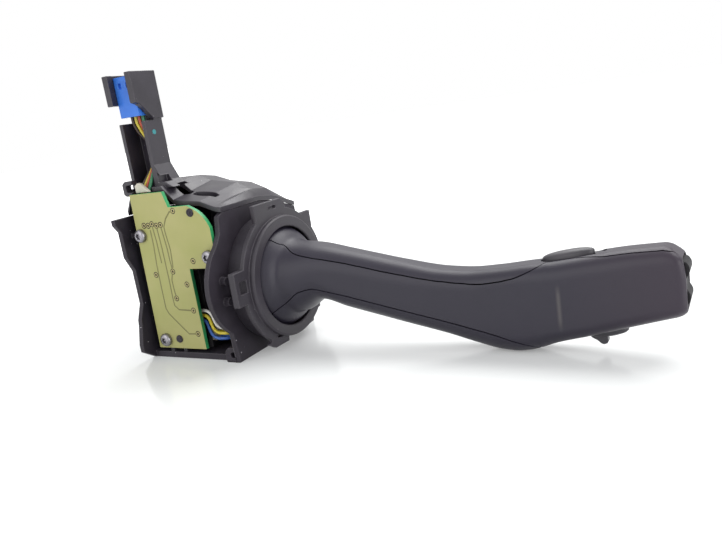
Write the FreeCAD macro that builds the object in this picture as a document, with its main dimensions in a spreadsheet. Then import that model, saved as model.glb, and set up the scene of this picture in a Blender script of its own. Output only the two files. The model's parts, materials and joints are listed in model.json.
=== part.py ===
import FreeCAD, Part
import math
import os

import Sketcher
from FreeCAD import Placement, Rotation, Vector

# A steering column stalk switch: a housing with an open side closed by a circuit board, a cover with
# a cable duct and plug on top, a round bezel, and a lever that swings in it and carries a slide, a
# push button and a rocker.
# Every sketch is drawn from the origin, a point on the lever's axis just ahead of the bezel: X runs
# along the lever, Z up and Y away from the circuit board. The sheet's first cells put it in the part.

SIZES = [
    # Where the origin lies, above the surface that the part stands on
    ("place_x", -38.5, "origin along the lever"),
    ("place_y", 3.9, "origin across the lever"),
    ("table_drop", 25.8, "origin down to the lowest face"),
    ("bezel_front", 1.5, "bezel's face behind the origin"),
    # Bezel and dome
    ("pivot_back", 14.0, "pivot behind the origin"),
    ("dome_r", 21.1, "outside of the lever's dome"),
    ("dome_gap", 0.8, "gap between dome and bezel"),
    ("dome_rim_angle", 73.0, "lever's axis to the dome's rim"),
    ("dome_front", 2.0, "end of the dome ahead of the origin"),
    ("face_r", 22.6, "bezel's raised face"),
    ("face_step", 2.0, "height of the raised face"),
    ("mouth_bevel", 0.5, "bevel round the bezel's opening"),
    ("face_bevel", 0.6, "bevel round the raised face"),
    ("flange_r", 25.6, "bezel's flange"),
    ("flange_thick", 1.8, "bezel's flange, front to back"),
    ("skirt_r", 23.2, "bezel's skirt behind the flange"),
    ("lug_root", 21.6, "radius where the lugs start"),
    ("top_lug_rise", 28.7, "top lug's upper edge"),
    ("top_lug_front", 12.8, "top lug towards the board"),
    ("top_lug_back", 6.0, "top lug away from the board"),
    ("side_lug_high", 20.8, "far lug's upper edge"),
    ("side_lug_low", 14.3, "far lug's lower edge"),
    ("side_lug_out", 21.6, "far lug's outer edge"),
    ("low_lug_near", 5.2, "bottom lug's edge near the middle"),
    ("low_lug_far", 13.8, "bottom lug's edge towards the board"),
    ("low_lug_drop", 23.9, "bottom lug's lower edge"),
    ("gap_from", 121.0, "flange's gap, from the far side round to the board's side, degrees"),
    ("gap_to", 38.0, "flange's gap, its other end, degrees"),
    ("tab_out", 29.8, "window tab's outer edge"),
    ("tab_high", 8.6, "window tab's top"),
    ("tab_low", 3.6, "window tab's bottom, below the centre"),
    ("tab_thick", 2.6, "window tab, front to back"),
    ("tab_window", 3.9, "window's width"),
    ("tab_window_tall", 4.4, "window's height"),
    ("slot_long", 4.2, "slot in a lug, length"),
    ("slot_tall", 1.1, "slot in a lug, height"),
    # Housing
    ("wall_x", 12.5, "right wall's outer face behind the origin"),
    ("left_x", 57.5, "left wall's outer face behind the origin"),
    ("back_y", 25.0, "back wall's outer face"),
    ("wall", 2.0, "housing walls"),
    ("floor_thick", 2.5, "housing floor"),
    ("floor_front", 23.0, "floor's front edge"),
    ("wall_top", 28.5, "right wall's top edge"),
    ("wall_top_front", 19.0, "front end of that edge"),
    ("bulge_out", 33.4, "right wall's furthest point past the board"),
    ("bulge_mid", 1.2, "height of that point"),
    ("bulge_high", 17.1, "upper end of the bulge"),
    ("bulge_low", 14.3, "lower end of the bulge, below the centre"),
    ("bulge_root", 25.6, "bulge's ends, out from the centre"),
    ("left_top", 29.9, "left wall's top edge"),
    ("left_lug", 28.9, "left wall's corner lugs"),
    ("left_mid", 24.3, "left wall's edge between them"),
    ("hole_clear", 0.5, "dome's rim to the opening in the right wall"),
    ("foot_wide", 6.5, "screw lug's width"),
    ("foot_high", 5.5, "screw lug's height"),
    ("foot_cut", 1.5, "screw lug's cut corner"),
    ("foot_out", 24.5, "screw lug's face"),
    ("foot_deep", 7.0, "screw lug, front to back"),
    ("foot_hole_r", 1.1, "hole in the screw lug"),
    ("foot_hole_x", 15.6, "hole behind the origin"),
    ("foot_hole_z", 23.1, "hole below the centre"),
    ("hook_out", 2.2, "snap hooks on the right wall"),
    ("hook_y", 25.6, "snap hooks towards the board"),
    ("hook_long", 3.2, "snap hooks"),
    ("hook_high", 5.2, "upper hook"),
    ("hook_low", 2.3, "lower hook, below the centre"),
    # Circuit board and its fixings
    ("board_y", 24.0, "board's outer face"),
    ("board_thick", 1.6, "board"),
    ("board_inset", 5.6, "left wall's outer face to the board's left edge"),
    ("board_right", 15.0, "board's right edge"),
    ("board_top", 38.1, "board's top edge"),
    ("board_low", 21.4, "board's bottom edge, below the centre"),
    ("board_step_x", 32.6, "step in the top edge"),
    ("board_shoulder", 32.4, "top edge right of the step"),
    ("board_corner_x", 20.5, "start of the rounded corner"),
    ("board_corner_z", 24.0, "end of the rounded corner"),
    ("cutout_x", 28.2, "cutout's left edge"),
    ("cutout_z", 9.5, "cutout's top edge"),
    ("screw_head_r", 2.5, "board screw's head"),
    ("screw_head", 1.9, "head's height"),
    ("screw_r", 1.2, "board screw's shank"),
    ("screw_long", 6.0, "shank below the head"),
    ("screw_fit", 0.25, "board's holes round the shanks"),
    ("boss_r", 2.7, "bosses under the board"),
    ("boss_deep", 9.0, "bosses, front to back"),
    ("rib_thick", 1.6, "ribs that carry the bosses"),
    ("post_r", 1.15, "locating posts"),
    ("post_fit", 0.1, "board's holes round the posts"),
    ("post_out", 0.9, "posts past the board"),
    ("screw_high_in", 3.4, "board's left edge to the upper screw"),
    ("screw_high_z", 22.7, "upper screw"),
    ("screw_low_in", 4.8, "board's left edge to the lower screw"),
    ("screw_low_z", 18.0, "lower screw, below the centre"),
    ("screw_side_x", 17.8, "screw by the right wall"),
    ("screw_side_z", 13.7, "screw by the right wall"),
    ("side_boss_deep", 2.2, "boss by the right wall, front to back"),
    ("post_x", 40.5, "locating post"),
    ("post_z", 17.6, "locating post, below the centre"),
    # Cover with the cable duct and the plug's holder
    ("roof_thick", 1.8, "cover"),
    ("roof_front", 20.0, "cover's front lip"),
    ("roof_crest_y", 2.0, "cover's highest line"),
    ("roof_inset", 4.5, "left wall's outer face to the flat top"),
    ("roof_flat_run", 3.0, "duct to the right end of the flat top"),
    ("roof_step_run", 5.0, "flat top to the foot of the step"),
    ("roof_slope_x", 21.0, "start of the slope"),
    ("roof_edge_x", 14.4, "foot of the slope"),
    ("roof_out_x", 12.3, "cover's right edge"),
    ("roof_flat_z", 39.8, "flat top"),
    ("roof_step_front", 34.4, "foot of the step at the lip"),
    ("roof_step_crest", 38.2, "foot of the step at the crest"),
    ("roof_slope_front", 33.0, "start of the slope at the lip"),
    ("roof_slope_crest", 36.3, "start of the slope at the crest"),
    ("roof_edge_front", 30.6, "foot of the slope at the lip"),
    ("roof_edge_crest", 33.4, "foot of the slope at the crest"),
    ("roof_crest_rise", 0.9, "flat top's rise to the crest"),
    ("roof_back_fall", 6.0, "cover's fall from lip to back edge"),
    ("roof_bend_y", 10.9, "where the cover starts to fall to its back edge"),
    ("roof_bend_fall", 1.2, "cover's fall up to there"),
    ("lens_x", 28.6, "slot in the cover, middle"),
    ("lens_y", 12.0, "slot in the cover, out from the crest"),
    ("lens_long", 19.0, "slot in the cover, length"),
    ("lens_wide", 4.4, "slot in the cover, width"),
    ("duct_inset", 3.5, "left wall's outer face to the duct"),
    ("duct_wide", 13.0, "duct's width"),
    ("duct_front", 18.0, "duct's open side"),
    ("duct_back", 9.0, "duct's back face"),
    ("duct_wall", 1.6, "duct's walls"),
    ("holder_low", 64.0, "foot of the plug's holder"),
    ("holder_top", 81.0, "top of the plug's holder"),
    ("holder_extra", 0.6, "holder's outside past the duct"),
    ("holder_lip", 0.5, "lips inside the plug's holder"),
    ("holder_reach", 2.6, "holder's walls past the plug's front"),
    ("holder_gap", 6.2, "gap in the walls under the holder"),
    ("gusset_high", 47.5, "gusset's top"),
    ("gusset_run", 7.5, "duct to the gusset's foot"),
    ("gusset_window", 3.2, "window in the gusset"),
    # Plug and wires
    ("plug_fit", 0.25, "plug in its holder"),
    ("plug_low", 65.6, "plug's lower end"),
    ("plug_top", 80.0, "plug's upper end"),
    ("plug_wall", 1.3, "plug's walls"),
    ("plug_floor", 3.4, "plug's floor"),
    ("plug_slot", 1.4, "latch slots in the plug"),
    ("pin_size", 0.64, "terminals"),
    ("pin_pitch", 1.8, "terminals, middle to middle"),
    ("pin_up", 7.0, "terminals above the plug's floor"),
    ("wire_r", 0.6, "wires"),
    ("header_in", 4.9, "board's left edge to the middle of the header on its inner side"),
    ("header_z", 31.5, "header on the board's inner side"),
    ("header_wide", 9.0, "header's length"),
    ("header_tall", 5.0, "header's height"),
    ("header_deep", 4.0, "header's depth"),
    # Swivel inside the housing
    ("bracket_x", 33.0, "bracket's plate behind the origin"),
    ("bracket_thick", 2.0, "bracket's plate"),
    ("bracket_half", 17.0, "bracket's plate, half its width"),
    ("ear_y", 12.2, "bracket's ears, inner face"),
    ("ear_thick", 3.0, "bracket's ears"),
    ("ear_half", 4.5, "bracket's ears, half their height"),
    ("pivot_r", 2.0, "pivot pins"),
    ("pivot_fit", 0.05, "running fit on a pin"),
    ("carrier_half_x", 6.0, "carrier, half its length"),
    ("carrier_half_y", 11.6, "carrier, half its width"),
    ("carrier_half_z", 7.8, "carrier, half its height"),
    ("pin_seat", 5.0, "pivot pins inside the carrier"),
    ("snout_r", 3.4, "carrier's plunger barrel"),
    ("snout_long", 5.5, "carrier's plunger barrel"),
    ("plunger_r", 2.0, "plunger"),
    ("plunger_fit", 0.1, "plunger in its barrel"),
    ("plunger_reach", 14.6, "pivot to the plunger's tip"),
    ("plunger_long", 6.0, "plunger"),
    ("track_r", 15.0, "pivot to the detent track"),
    ("track_half_y", 4.0, "track, half its width"),
    ("track_half_z", 9.5, "track, half its height"),
    ("notch_r", 0.7, "track's notches"),
    ("notch_step", 5.0, "notch to notch, degrees"),
    ("spring_wire_r", 0.3, "springs' wire"),
    ("spring_coils", 3.0, "plunger spring's turns"),
    # Fork and pull pin
    ("fork_ear", 3.2, "fork's ears"),
    ("fork_gap", 0.4, "fork's ears to the carrier"),
    ("fork_back", 4.6, "fork's ears behind the pull pin"),
    ("fork_half_y", 4.4, "fork, half its width"),
    ("fork_crotch", 7.0, "fork's crotch ahead of the pull pin"),
    ("core_half_y", 2.8, "fork's tongue, half its width"),
    ("core_gap", 0.7, "tongue to the shell"),
    ("core_end", 36.0, "tongue's end ahead of the origin"),
    # Lever: stations along it, each with its top, its underside and half its width
    ("shell_wall", 2.0, "lever's shell"),
    ("throat_x", 5.4, "lever just outside the dome"),
    ("throat_half", 12.8, "lever just outside the dome"),
    ("neck_x", 13.5, "neck"),
    ("neck_top", 11.65, "neck"),
    ("neck_low", 8.6, "neck"),
    ("neck_half", 10.4, "neck"),
    ("stem_x", 24.0, "stem"),
    ("stem_top", 9.35, "stem"),
    ("stem_low", 11.6, "stem"),
    ("stem_half", 8.8, "stem"),
    ("waist_x", 45.0, "waist"),
    ("waist_top", 4.6, "waist"),
    ("waist_low", 16.9, "waist"),
    ("waist_half", 8.0, "waist"),
    ("belly_x", 61.0, "start of the paddle"),
    ("belly_top", 1.55, "start of the paddle"),
    ("belly_low", 20.8, "start of the paddle"),
    ("belly_half", 7.7, "start of the paddle"),
    ("sole_x", 70.0, "underside ahead of the lowest point"),
    ("sole_top", 1.05, "there"),
    ("sole_low", 23.3, "there"),
    ("rest_x", 79.0, "lowest point, on the table"),
    ("rest_top", 1.55, "lowest point"),
    ("heel_x", 88.0, "underside past the lowest point"),
    ("heel_top", 2.55, "there"),
    ("heel_low", 24.9, "there"),
    ("paddle_x", 97.0, "paddle's crease"),
    ("paddle_top", 3.4, "paddle's crease"),
    ("paddle_low", 22.1, "paddle's crease"),
    ("paddle_half", 7.5, "paddle"),
    ("grip_x", 118.0, "grip behind the tip"),
    ("grip_top", 6.0, "grip"),
    ("grip_low", 16.9, "grip"),
    ("grip_half", 7.1, "grip"),
    ("tip_x", 131.5, "tip"),
    ("tip_top", 7.0, "tip"),
    ("tip_low", 13.6, "tip"),
    ("tip_half", 6.5, "tip"),
    ("stem_flat", 1.4, "half the flat along the top, neck to waist"),
    ("belly_flat", 2.2, "half the flat along the top, start of the paddle"),
    ("paddle_flat", 2.6, "half the flat along the paddle's top"),
    ("grip_flat", 3.0, "half the flat along the top, grip to tip"),
    ("sole_flat", 0.7, "half the flat along the underside"),
    ("heel_flat", 1.6, "half the flat underneath at the heel"),
    ("crease_flat", 2.3, "half the flat underneath, crease to tip"),
    ("tip_wall", 2.0, "lever's end wall"),
    # Seams of the front shell
    ("seam_gap", 0.3, "seam between the shells"),
    ("split_y", 2.8, "shells' parting plane in front of the middle"),
    ("seam_high_neck", 9.9, "upper seam at the neck"),
    ("seam_high_stem", 6.4, "upper seam at the stem"),
    ("seam_high_waist", 0.9, "upper seam at the waist"),
    ("seam_high_rest", 2.6, "upper seam's lowest point, below the centre"),
    ("seam_high_crease", 2.9, "upper seam at the crease"),
    ("seam_low_neck", 2.9, "lower seam at the neck, below the centre"),
    ("seam_low_waist", 10.6, "lower seam at the waist"),
    ("seam_low_rest", 19.3, "lower seam at the lowest point"),
    # Interval slide on top
    ("slide_x", 100.6, "slide's middle"),
    ("slide_y", 1.0, "slide's middle"),
    ("slide_z", 3.85, "lever's top under the slide"),
    ("slide_tilt", 7.1, "slope of the lever's top, degrees"),
    ("slide_long", 16.0, "slide's cap"),
    ("slide_wide", 6.2, "slide's cap"),
    ("slide_rise", 2.4, "slide's cap above the lever"),
    ("slide_sunk", 0.3, "slide's cap in its recess"),
    ("slide_crown", 1.3, "slide's crown, in from its sides"),
    ("slide_fit", 0.4, "recess round the cap"),
    ("slide_travel", 3.0, "slide's travel"),
    ("slide_stem", 5.0, "slide's stem"),
    ("slide_stem_wide", 2.6, "slide's stem"),
    ("slide_foot", 0.9, "slide's foot under the shell"),
    # Push button underneath
    ("push_x", 110.8, "button's middle"),
    ("push_y", 0.3, "button's middle"),
    ("push_z", 18.7, "lever's underside at the button, below the centre"),
    ("push_tilt", 13.9, "slope of the lever's underside, degrees"),
    ("push_long", 11.6, "button"),
    ("push_wide", 5.6, "button"),
    ("push_proud", 1.3, "button below the lever"),
    ("push_nib", 4.4, "button's nib below the lever"),
    ("push_nib_x", 1.6, "nib behind the button's middle"),
    ("push_travel", 1.2, "button's travel"),
    ("push_fit", 0.35, "hole round the button"),
    ("push_rim", 0.9, "button's retaining rim"),
    # Rocker at the tip
    ("rocker_axle_x", 128.0, "rocker's axle"),
    ("rocker_axle_z", 3.9, "rocker's axle, below the centre"),
    ("rocker_axle_r", 1.2, "rocker's axle"),
    ("rocker_axle_long", 1.4, "axle's ends past the rocker"),
    ("rocker_half", 4.1, "rocker, half its width"),
    ("rocker_out", 134.4, "rocker's humps"),
    ("rocker_waist", 133.3, "rocker's hollow between them"),
    ("rocker_reach", 6.9, "rocker above and below its axle"),
    ("rocker_fit", 0.9, "mouth above and below the rocker"),
    ("rocker_side", 0.35, "mouth beside the rocker"),
    ("rocker_back", 126.4, "rocker's back"),
    # Board inside the lever
    ("inner_board_y", 2.6, "lever board's near face, behind the middle"),
    ("inner_board", 1.2, "lever board"),
    ("inner_left", 90.0, "lever board's left edge"),
    ("inner_right", 123.4, "lever board's right edge"),
    ("tact", 3.0, "small switches on the lever board"),
    ("tact_high", 1.9, "small switches' height"),
]


class Size:
    """A number from the sheet, with the expression that leads back to its cells."""

    def __init__(self, number, text):
        self.number = float(number)
        self.text = text

    def __add__(self, other):
        other = size(other)
        return Size(self.number + other.number, f"({self.text} + {other.text})")

    def __radd__(self, other):
        return size(other) + self

    def __sub__(self, other):
        other = size(other)
        return Size(self.number - other.number, f"({self.text} - {other.text})")

    def __rsub__(self, other):
        return size(other) - self

    def __mul__(self, other):
        other = size(other)
        return Size(self.number * other.number, f"({self.text} * {other.text})")

    def __rmul__(self, other):
        return size(other) * self

    def __truediv__(self, other):
        other = size(other)
        return Size(self.number / other.number, f"({self.text} / {other.text})")

    def __neg__(self):
        return Size(-self.number, f"(-1 * {self.text})")


def size(value):
    """A plain number as a Size."""
    return value if isinstance(value, Size) else Size(value, f"{float(value)}")


def root(value):
    """Square root."""
    return Size(math.sqrt(value.number), f"sqrt({value.text})")


def cosine(degrees):
    """Cosine of an angle in degrees."""
    degrees = size(degrees)
    return Size(math.cos(math.radians(degrees.number)), f"cos({degrees.text} * 1 deg)")


def sine(degrees):
    """Sine of an angle in degrees."""
    degrees = size(degrees)
    return Size(math.sin(math.radians(degrees.number)), f"sin({degrees.text} * 1 deg)")


class Named:
    """The sheet's values by name."""


doc = FreeCAD.newDocument("StalkSwitch")
sheet = doc.addObject("Spreadsheet::Sheet", "sizes")
s = Named()
for line, (name, number, meaning) in enumerate(SIZES, start=1):
    sheet.set(f"A{line}", meaning)
    sheet.set(f"B{line}", str(number))
    sheet.setAlias(f"B{line}", name)
    setattr(s, name, Size(number, f"sizes.{name}"))
doc.recompute()


# Ways of drawing: sketches whose points are held by the sheet, and solids made from them

def tie(thing, path, value):
    """Bind one property to its expression."""
    thing.setExpression(path, size(value).text)


def place(thing, x=0, y=0, z=0):
    """Put a piece at a point measured from the bezel's centre."""
    tie(thing, "Placement.Base.x", s.place_x + x)
    tie(thing, "Placement.Base.y", s.place_y + y)
    tie(thing, "Placement.Base.z", s.table_drop + z)


def new_body(name, x=0, y=0, z=0):
    """An empty body at a point measured from the bezel's centre."""
    body = doc.addObject("PartDesign::Body", name)
    body.Label = name
    place(body, x, y, z)
    return body


def new_sketch(body, name, plane, offset=0):
    """A sketch on one of its body's origin planes, moved along that plane's normal."""
    drawing = body.newObject("Sketcher::SketchObject", name)
    planes = [item for item in body.Origin.OriginFeatures if item.Role == plane + "_Plane"]
    drawing.AttachmentSupport = (planes[0], [""])
    drawing.MapMode = "FlatFace"
    tie(drawing, "AttachmentOffset.Base.z", offset)
    return drawing


def spot(point):
    """The sketch position of a pair of sizes."""
    return Vector(size(point[0]).number, size(point[1]).number, 0)


def hold(drawing, shape, end, point):
    """Hold one end of a sketch line at its distances from the origin."""
    for kind, distance in (("DistanceX", point[0]), ("DistanceY", point[1])):
        distance = size(distance)
        rule = Sketcher.Constraint(kind, -1, 1, shape, end, distance.number)
        drawing.setExpression(f"Constraints[{drawing.addConstraint(rule)}]", distance.text)


def outline(drawing, points):
    """A closed loop. A point marked "arc" is one that an arc passes through."""
    corners = [index for index, point in enumerate(points) if len(point) == 2]
    edges = []
    for index, following in zip(corners, corners[1:] + corners[:1]):
        start = spot(points[index])
        end = spot(points[following])
        middle = points[(index + 1) % len(points)]
        if len(middle) == 2:
            edges.append((drawing.addGeometry(Part.LineSegment(start, end), False), 1, 2))
            continue
        via = spot(middle)
        if (via - start).cross(end - via).z > 0:
            edges.append((drawing.addGeometry(Part.Arc(start, via, end), False), 1, 2))
        else:
            edges.append((drawing.addGeometry(Part.Arc(end, via, start), False), 2, 1))
        mark = drawing.addGeometry(Part.Point(via), True)
        hold(drawing, mark, 1, middle)
        drawing.addConstraint(Sketcher.Constraint("PointOnObject", mark, 1, edges[-1][0]))
    for index, edge, following in zip(corners, edges, edges[1:] + edges[:1]):
        hold(drawing, edge[0], edge[1], points[index])
        drawing.addConstraint(
            Sketcher.Constraint("Coincident", edge[0], edge[2], following[0], following[1]))


def rectangle(drawing, left, right, low, high):
    """Four corners."""
    outline(drawing, [(left, low), (right, low), (right, high), (left, high)])


def ring(drawing, across, up, radius):
    """A circle."""
    radius = size(radius)
    shape = drawing.addGeometry(Part.Circle(spot((across, up)), Vector(0, 0, 1), radius.number), False)
    hold(drawing, shape, 3, (across, up))
    rule = Sketcher.Constraint("Radius", shape, radius.number)
    drawing.setExpression(f"Constraints[{drawing.addConstraint(rule)}]", radius.text)


def oval(drawing, across, up, long, wide):
    """Two straight sides and two round ends."""
    half = (long - wide) / 2
    outline(drawing, [
        (across - half, up - wide / 2), (across + half, up - wide / 2),
        (across + long / 2, up, "arc"),
        (across + half, up + wide / 2), (across - half, up + wide / 2),
        (across - long / 2, up, "arc")])


def rounded(drawing, half, high, low, high_r, low_r):
    """A rectangle about the middle with round corners, of one radius above and another below."""
    high_inset = high_r * (1 - math.sqrt(0.5))
    low_inset = low_r * (1 - math.sqrt(0.5))
    outline(drawing, [
        (-half + low_r, low), (half - low_r, low), (half - low_inset, low + low_inset, "arc"),
        (half, low + low_r), (half, high - high_r), (half - high_inset, high - high_inset, "arc"),
        (half - high_r, high), (-half + high_r, high), (-half + high_inset, high - high_inset, "arc"),
        (-half, high - high_r), (-half, low + low_r), (-half + low_inset, low + low_inset, "arc")])


def extrude(body, kind, drawing, length, back):
    """A pad or pocket of one sketch."""
    step = body.newObject("PartDesign::" + kind, f"{drawing.Name}_{kind}")
    step.Profile = drawing
    step.Reversed = back
    tie(step, "Length", length)
    return step


def pad(body, drawing, length, back=False):
    """Material from a sketch along its normal."""
    return extrude(body, "Pad", drawing, length, back)


def pocket(body, drawing, length, back=False):
    """A cut from a sketch against its normal."""
    return extrude(body, "Pocket", drawing, length, back)


def turned(body, drawing, axis):
    """Material swept round one of the body's axes."""
    step = body.newObject("PartDesign::Revolution", drawing.Name + "_turned")
    step.Profile = drawing
    axes = [item for item in body.Origin.OriginFeatures if item.Role == axis + "_Axis"]
    step.ReferenceAxis = (axes[0], [""])
    step.Angle = 360
    return step


def lofted(body, drawings):
    """Material through a row of sketches, straight from each to the next."""
    step = body.newObject("PartDesign::AdditiveLoft", drawings[0].Name + "_loft")
    step.Profile = drawings[0]
    step.Sections = drawings[1:]
    step.Ruled = True
    return step


def block(name, x, y, z):
    """A box from three pairs of limits, measured from the bezel's centre."""
    box = doc.addObject("Part::Box", name)
    tie(box, "Length", x[1] - x[0])
    tie(box, "Width", y[1] - y[0])
    tie(box, "Height", z[1] - z[0])
    place(box, x[0], y[0], z[0])
    return box


TURNS = {"X": Rotation(Vector(0, 1, 0), 90), "Y": Rotation(Vector(1, 0, 0), -90), "Z": Rotation()}


def rod(name, direction, x, y, z, radius, length):
    """A cylinder that starts at a point and runs along X, Y or Z."""
    cylinder = doc.addObject("Part::Cylinder", name)
    cylinder.Placement = Placement(Vector(), TURNS[direction])
    tie(cylinder, "Radius", radius)
    tie(cylinder, "Height", length)
    place(cylinder, x, y, z)
    return cylinder


def joined(name, pieces):
    """Pieces fused into one."""
    fusion = doc.addObject("Part::MultiFuse", name)
    fusion.Shapes = pieces
    fusion.Refine = True
    fusion.Label = name
    return fusion


def cut(name, base, tool):
    """A piece less a tool."""
    result = doc.addObject("Part::Cut", name)
    result.Base = base
    result.Tool = tool
    result.Label = name
    return result


def common(name, base, tool):
    """What two shapes share."""
    result = doc.addObject("Part::Common", name)
    result.Base = base
    result.Tool = tool
    result.Label = name
    return result


def grouped(name, pieces):
    """Identical pieces in one node."""
    group = doc.addObject("Part::Compound", name)
    group.Links = pieces
    group.Label = name
    return group


nodes = []


def keep(piece):
    """List a finished piece for export."""
    nodes.append(piece)
    return piece


# Bezel: a turned ring whose bore follows the dome, with lugs, slots and a window tab
seat_r = s.dome_r + s.dome_gap
flange_front = s.bezel_front + s.face_step
flange_back = flange_front + s.flange_thick


def seat_at(depth):
    """Radius of the bezel's bore at a depth behind the origin."""
    return root(seat_r * seat_r - (s.pivot_back - depth) * (s.pivot_back - depth))


mouth_r = seat_at(s.bezel_front + s.mouth_bevel)
bezel = new_body("bezel_ring")
profile = new_sketch(bezel, "bezel_profile", "XZ")
outline(profile, [
    (-s.bezel_front, mouth_r + s.mouth_bevel), (-s.bezel_front - s.mouth_bevel, mouth_r),
    (-s.wall_x / 2, seat_at(s.wall_x / 2), "arc"),
    (-s.wall_x, seat_at(s.wall_x)), (-s.wall_x, s.skirt_r), (-flange_back, s.skirt_r),
    (-flange_back, s.flange_r), (-flange_front, s.flange_r), (-flange_front, s.face_r),
    (-s.bezel_front - s.face_bevel, s.face_r), (-s.bezel_front, s.face_r - s.face_bevel)])
turned(bezel, profile, "X")
flange_gap = new_sketch(bezel, "flange_gap", "YZ", -flange_front)
gap_middle = (s.gap_from + s.gap_to) / 2
outline(flange_gap, [
    (s.face_r * cosine(s.gap_from), -s.face_r * sine(s.gap_from)),
    (s.face_r * cosine(gap_middle), -s.face_r * sine(gap_middle), "arc"),
    (s.face_r * cosine(s.gap_to), -s.face_r * sine(s.gap_to)),
    (s.flange_r * cosine(s.gap_to) * 1.2, -s.flange_r * sine(s.gap_to) * 1.2),
    (s.flange_r * cosine(gap_middle) * 1.5, -s.flange_r * sine(gap_middle) * 1.5),
    (s.flange_r * cosine(s.gap_from) * 1.2, -s.flange_r * sine(s.gap_from) * 1.2)])
pocket(bezel, flange_gap, s.flange_thick)
lugs = new_sketch(bezel, "bezel_lugs", "YZ", -flange_back)
outline(lugs, [
    (-s.top_lug_front, s.lug_root), (-s.top_lug_front, s.top_lug_rise),
    (s.top_lug_back - 2.7, s.top_lug_rise), (s.top_lug_back, s.top_lug_rise - 1.5),
    (s.top_lug_back, s.lug_root)])
outline(lugs, [
    (s.side_lug_low + 1.6, s.side_lug_high - 2.4), (s.side_lug_low + 1.1, s.side_lug_high),
    (s.side_lug_out, s.side_lug_high), (s.side_lug_out, s.side_lug_low),
    (s.side_lug_out - 2.4, s.side_lug_low - 0.6)])
outline(lugs, [
    (s.side_lug_out - 2.2, -s.side_lug_low + 0.3), (s.side_lug_out - 3.4, -s.side_lug_low - 3.7),
    (s.side_lug_out - 8, -s.side_lug_low - 4.1), (s.side_lug_out - 9.4, -s.low_lug_drop + 1.9),
    (s.side_lug_out - 13.2, -s.low_lug_drop + 1.5), (s.side_lug_out - 13.6, -s.lug_root + 1.6)])
outline(lugs, [
    (-s.low_lug_near, -s.lug_root), (-s.low_lug_near - 0.4, -s.low_lug_drop),
    (-s.low_lug_far, -s.low_lug_drop + 0.2), (-s.low_lug_far - 3.6, -s.low_lug_drop + 2.4),
    (-s.low_lug_far - 0.8, -s.low_lug_drop + 4)])
pad(bezel, lugs, s.flange_thick)
tab = new_sketch(bezel, "bezel_tab", "YZ", -flange_front - s.tab_thick)
rectangle(tab, -s.tab_out, -s.skirt_r, -s.tab_low, s.tab_high)
pad(bezel, tab, s.tab_thick)
window = new_sketch(bezel, "bezel_window", "YZ", -flange_front)
window_out = -s.tab_out + 2
rectangle(window, window_out, window_out + s.tab_window, 0.6, s.tab_window_tall + 0.6)
top_slot = s.top_lug_rise - 2.9
rectangle(window, -s.slot_long, size(0.2), top_slot, top_slot + s.slot_tall)
pocket(bezel, window, s.tab_thick)
keep(bezel)

# Housing: two side walls of their own outline, a floor and a back wall, open to the board and the top
floor_z = -s.table_drop
inner_left = -s.left_x + s.wall
board_left = s.left_x - s.board_inset
screw_high_x = board_left - s.screw_high_in
screw_low_x = board_left - s.screw_low_in
header_x = board_left - s.header_in
duct_left = s.left_x - s.duct_inset
duct_right = duct_left - s.duct_wide
gusset_out = duct_right - s.gusset_run
roof_left_x = s.left_x - s.roof_inset
roof_flat_x = duct_right - s.roof_flat_run
roof_step_x = roof_flat_x - s.roof_step_run
inner_right = -s.wall_x - s.wall
board_back = -s.board_y + s.board_thick
housing = new_body("housing")
right_wall = new_sketch(housing, "right_wall", "YZ", inner_right)
outline(right_wall, [
    (-s.floor_front - 1.2, floor_z), (s.back_y, floor_z), (s.back_y, s.wall_top - s.roof_back_fall),
    (s.roof_bend_y, s.wall_top - s.roof_bend_fall), (s.roof_crest_y, s.wall_top),
    (-s.wall_top_front, s.wall_top), (-s.wall_top_front - 2.4, s.wall_top - 1.2),
    (-s.wall_top_front - 3.6, s.bulge_high + 4), (-s.bulge_root, s.bulge_high),
    (-s.bulge_out, s.bulge_mid, "arc"), (-s.bulge_root, -s.bulge_low)])
pad(housing, right_wall, s.wall)
floor = new_sketch(housing, "floor", "XY", floor_z)
rectangle(floor, -s.left_x, inner_right, -s.floor_front, s.back_y)
pad(housing, floor, s.floor_thick)
left_wall = new_sketch(housing, "left_wall", "YZ", -s.left_x)
outline(left_wall, [
    (-s.floor_front, floor_z), (s.back_y, floor_z), (s.back_y, s.left_top - s.roof_back_fall),
    (s.roof_bend_y, s.left_top - s.roof_bend_fall), (s.roof_crest_y, s.left_top),
    (-s.wall_top_front, s.left_top), (-s.left_lug, s.left_top), (-s.left_lug, s.left_top - 2),
    (-s.left_lug + 2, s.left_top - 5),
    (-s.left_lug + 2, s.bulge_high - 2), (-s.left_mid, s.cutout_z),
    (-s.left_mid, -s.tab_low), (-s.left_lug + 2, -s.cutout_z),
    (-s.left_lug + 1.8, -s.bulge_low + 2.8), (-s.left_lug, -s.board_low + 2.5),
    (-s.left_lug, -s.board_low - 0.5)])
pad(housing, left_wall, s.wall)


def roof_line(rise, fall, step, slope, edge):
    """The cover's top line, left to right, with its flat top raised and all of it let down."""
    return [
        (-s.left_x, s.left_top + s.roof_thick - fall), (-roof_left_x, s.roof_flat_z + rise - fall),
        (-roof_flat_x, s.roof_flat_z + rise - fall), (-roof_step_x, step - fall),
        (-s.roof_slope_x, slope - fall), (-s.roof_edge_x, edge - fall),
        (-s.roof_out_x, s.wall_top + s.roof_thick - fall)]


def roof_under(line):
    """The underside of such a line, right to left."""
    return [(across, up - s.roof_thick) for across, up in reversed(line)]


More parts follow.
